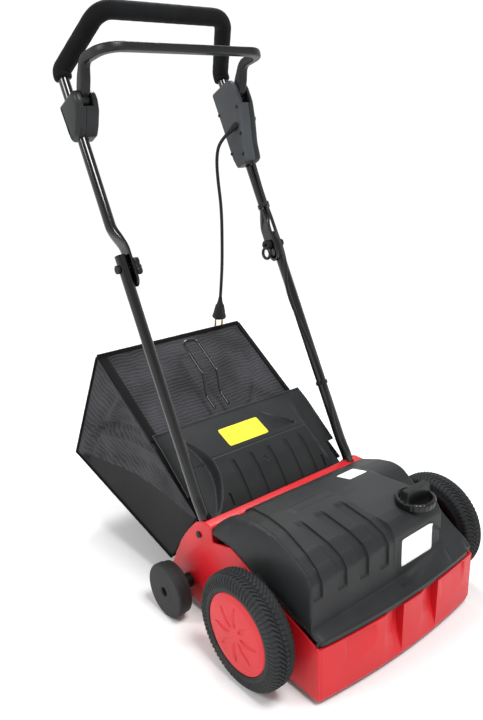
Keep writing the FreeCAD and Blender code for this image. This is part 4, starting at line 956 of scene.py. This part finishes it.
for word, side, outline, radii in (("switch", 1, switch_outline, [5, 14, 60, 90, 60, 30, 12, 6, 8]),
                                   ("pivot", -1, pivot_outline, [5, 12, 30, 30, 24, 14, 12, 5, 30])):
    line = handle_line(outline, radii)
    halves = ((inner_x, split_x - seam_half, 5, 0.5, 4, 0.5, housing_grey if side > 0 else housing_black),
              (split_x + seam_half, outer_x, 0.5, 11, 0.5, 9, housing_black))
    for name, (near, far, *edges, finish) in zip(("inner", "outer"), halves):
        depths = (near, far, *edges)
        if side < 0:
            depths = (-far, -near, edges[1], edges[0], edges[3], edges[2])
        shell = piece(f"{word}_housing_{name}", *slab(line, *depths, steps=8), "upper_handle", finish,
                      [f"{word}_box_{name}"], "grey_plastic" if name == "inner" else "black_plastic")
        low_x, high_x = sorted((side * slot_near, side * slot_far))
        cut(shell, (low_x, slot_low, slot_behind), (high_x, slot_high, slot_ahead))

# ---------------- bail lever and fold nuts
# The bail is one black moulding with a rectangular, well rounded section, hinged in both housings.
# Each fold bolt has its own nut: three lobes on the left, a hub with a pull ring on the right.
bail_half, bail_pivot, bail_wide, eye_radius, eye_half = 181.5, (310, 34), 9.6, 12, 8
bail_leg = [(bail_half, *bail_pivot), (bail_half, 364, 82), (bail_half - 6, 347.5, 149.5)]
bail_corners = ([on_handle(-x, a, f) for x, a, f in bail_leg]
                + [on_handle(x, a, f) for x, a, f in bail_leg[::-1]])
bail_path, bail_from_end = even(bail_corners, [0, 22, 42, 42, 22, 0], 13, 200)
bail_deep = (9.0 + 4.5 * smooth(6, 20, bail_from_end) * smooth(64, 36, bail_from_end)
             - 1.2 * smooth(90, 190, bail_from_end))
eye_line = circle(on_handle(0, *bail_pivot)[1:], eye_radius, around(40))
eyes = [slab(eye_line, x - eye_half, x + eye_half, 1.2, 1.2) for x in (-bail_half, bail_half)]
bail_black = moulded("black_moulded_nylon", "#0f1011", "#18191a", 0.38, grain=1.0, relief=0.03, ior=1.53)
piece("bail_bar", *joined(carried(bail_path, bail_wide, bail_deep, 3.6, count=36), *eyes), "bail", bail_black,
      ["bail_lever"], "black_plastic", sharp=50)

nut_angle, fold_middle, hub_radius = around(96), (fold_y, fold_z), 8.4
ring_radius, wire_radius, ring_x, ring_drop = 11, 3.2, 159.6, 18
lobe_line = circle(fold_middle, 14.2 + 4.2 * np.cos(3 * (nut_angle - math.pi / 2)), nut_angle)
hub_line = circle(fold_middle, hub_radius, nut_angle)
wing_nut = joined(slab(lobe_line, -167.4, -155.6, 3, 3, 2.5, 2.5), slab(hub_line, -168.5, -154.7, 1, 1.5))
piece("wing_nut_body", *wing_nut, "wing_nut_left", bail_black, ["wing_nut_left"], "black_plastic")
turn_major, turn_minor = np.meshgrid(around(56), around(20), indexing="ij")
ring_out = ring_radius + wire_radius * np.cos(turn_minor)
ring_points = np.stack([ring_x + wire_radius * np.sin(turn_minor), fold_y + ring_out * np.cos(turn_major),
                        fold_z - ring_drop + ring_out * np.sin(turn_major)], -1).reshape(-1, 3)
knurl_line = circle(fold_middle, 9.7 + 0.3 * np.cos(24 * nut_angle), nut_angle)
ring_nut = joined((ring_points, quads(56, 20, True, True)), slab(knurl_line, 155.6, 168.5, 1.5, 1))
piece("ring_nut_body", *ring_nut, "ring_nut_right", bail_black, ["ring_nut_right"], "black_plastic")

# ---------------- power cable and mains lead
# The motor's cable runs from the switch housing down the right tube, held by two clips, and bows out
# at the fold. The mains lead hangs from a ribbed strain relief in the housing's inner face.
cable_pvc = moulded("black_cable_pvc", "#090a0a", "#111212", 0.38, grain=1.0, relief=0.02, ior=1.5)
cord_radius = 3.5
cable_route = [on_handle(182, 177.7, 18.5), on_handle(181, 148, 18), on_handle(180, 114, 17),
               on_handle(180.5, 84, 16), on_handle(178, 58, 21), (165, 376, 644), (165, 360, 618),
               (158, 340, 586), (155, 338, 550), (158, 328, 512), (165, 308, 470), (172, 287, 428),
               (179, 267, 383), (180, 245.5, 340), (172, 221, 303), (167, 205, 264), (168.5, 188, 229),
               (170, 168, 207)]


def spline(route, steps=8):
    """The quadratic B-spline that starts and ends on the route's ends: one Bezier arc for each inner
    point, from the middle of the run before it to the middle of the run after it."""
    route = np.asarray(route, float)
    middles = (route[1:-2] + route[2:-1]) / 2
    starts, ends = np.vstack([route[:1], middles]), np.vstack([middles, route[-1:]])
    share = np.linspace(0, 1, steps, endpoint=False)[None, :, None]
    arcs = (starts[:, None] * (1 - share) ** 2 + 2 * route[1:-1][:, None] * share * (1 - share)
            + ends[:, None] * share ** 2)
    return np.vstack([arcs.reshape(-1, 3), route[-1:]])


power_cable = piece("motor_cable", *carried(spline(cable_route), cord_radius, cord_radius, count=16), None,
                    cable_pvc, ["power_cable_upper", "power_cable_lower"], "cable_rubber", sharp=60)
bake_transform(power_cable)

mains_route = [(145, 505, 842), (131, 516, 826), (125, 521, 795), (125, 519, 750), (123.5, 507, 690),
               (122.5, 507, 615), (122.5, 511, 548), (122.5, 520, 490)]
lead = bpy.data.curves.new("mains_lead", "CURVE")
lead.dimensions, lead.bevel_depth = "3D", cord_radius / 1000
lead.bevel_resolution, lead.resolution_u = 6, 10
run = lead.splines.new("NURBS")
run.points.add(len(mains_route) - 1)
run.points.foreach_set("co", np.column_stack([place(mains_route), np.ones(len(mains_route))]).ravel())
run.order_u, run.use_endpoint_u = 3, True
lead.use_fill_caps = True
lead.materials.append(cable_pvc)
mains_lead = shown("mains_lead", lead)
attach(mains_lead, "upper_handle")
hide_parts("mains_cord")

# The relief's ribs and the plug's finger grips are waves of the half width along the cord.
route = np.array(mains_route, float)
relief_run = np.linspace(0, 26, 53)
relief_ribs = 0.45 * np.sign(np.sin(relief_run * 2 * math.pi / 5.2)) * (relief_run > 1) * (relief_run < 22)
relief_half = 4.2 + 2.9 * relief_run / 26 + relief_ribs
relief_path = route[0] + unit(route[0] - route[1]) * relief_run[:, None]
relief = piece("cord_strain_relief", *carried(relief_path, relief_half, relief_half, count=24),
               "upper_handle", cable_pvc, ["mains_strain_relief"], "cable_rubber", sharp=30)
plug_run, plug_half = np.array([
    (0, 4.2), (1, 4.6), (4, 5.0), (4.5, 4.5), (7, 5.5), (7.5, 5.0), (10, 6.2), (10.5, 5.6), (13, 6.9),
    (14.5, 7.2), (16, 7.6), (18, 8.8), (20, 9.6), (23, 10.2), (26, 10.8), (29, 11.3), (32, 11.8), (35, 12.4),
    (38, 13.1), (41, 13.9), (44, 14.6), (46.5, 14.9), (48.5, 14.7), (49.6, 14.0), (50, 12.8)]).T
grips = 0.5 * np.cos(plug_run * 2 * math.pi / 4) * (plug_run > 21) * (plug_run < 42)
plug_path = route[-1] + unit(route[-1] - route[-2]) * plug_run[:, None]
plug_power = np.where(plug_run > 16, 2.6, 2.0)
plug = piece("plug_moulding", *carried(plug_path, plug_half, plug_half - 0.6 + grips, plug_power, count=40),
             "upper_handle", cable_pvc, ["mains_plug"], "cable_rubber", sharp=35)

# ---------------- stage, light and camera
# A near-white floor under a pale sky, with soft lamps, and the camera where the photo was taken from.
floor_radius, floor_angle = 2.3, around(96)
floor_ring = np.column_stack([circle((0, 0), floor_radius, floor_angle), np.full(len(floor_angle), -0.001)])
floor_mesh = bpy.data.meshes.new("floor")
floor_mesh.from_pydata(floor_ring.tolist(), [], [list(range(len(floor_angle)))])
floor_mesh.materials.append(material("studio_floor", "#fbfbfb", 0.9)[0])
shown("floor", floor_mesh)

world = bpy.data.worlds.new("studio")
bpy.context.scene.world = world
world.use_nodes = True
sky = world.node_tree
height = add(sky, "SeparateXYZ", {0: add(sky, "TexCoord").outputs["Generated"]})
level = mapped(sky, height.outputs["Z"], (0.2, 0.55), (1.04, 0.42))
sky.links.new(level, sky.nodes["Background"].inputs["Strength"])
sky.nodes["Background"].inputs["Color"].default_value = (1.0, 1.0, 1.0, 1.0)


def lamp(title, spot, power, size):
    """A square area lamp that faces the middle of the machine."""
    light = bpy.data.lights.new(title, "AREA")
    light.energy, light.size = power, size
    made = shown(title, light)
    made.location = spot
    aim = np.array([0.0, 0.0, 0.35]) - np.array(spot)
    made.rotation_euler = (math.atan2(math.hypot(aim[0], aim[1]), -aim[2]), 0,
                           math.atan2(aim[0], -aim[1]) + math.pi)


lamp("key_lamp", (-0.2, -1.6, 3.2), 75, 1.0)
lamp("rim_lamp", (0.9, 1.6, 2.8), 60, 1.0)
lamp("side_lamp", (-2.2, 0.3, 2.2), 26, 0.8)

camera_data = bpy.data.cameras.new("camera")
camera_data.lens, camera_data.sensor_width, camera_data.sensor_fit = 36.09, 36.0, "AUTO"
camera = shown("camera", camera_data)
right = np.array([0.7728562, -0.63417668, -0.02265466])
up = np.array([0.22093683, 0.23544078, 0.94644311])
forward = np.array([0.59487832, 0.73646967, -0.32207485])
pose = np.eye(4)
pose[:3, 0], pose[:3, 1], pose[:3, 2], pose[:3, 3] = right, up, -forward, (-0.8422, -1.0048, 0.8797)
camera.matrix_world = Matrix(pose.tolist())
bpy.context.scene.camera = camera
bpy.context.scene.view_settings.view_transform = "Standard"
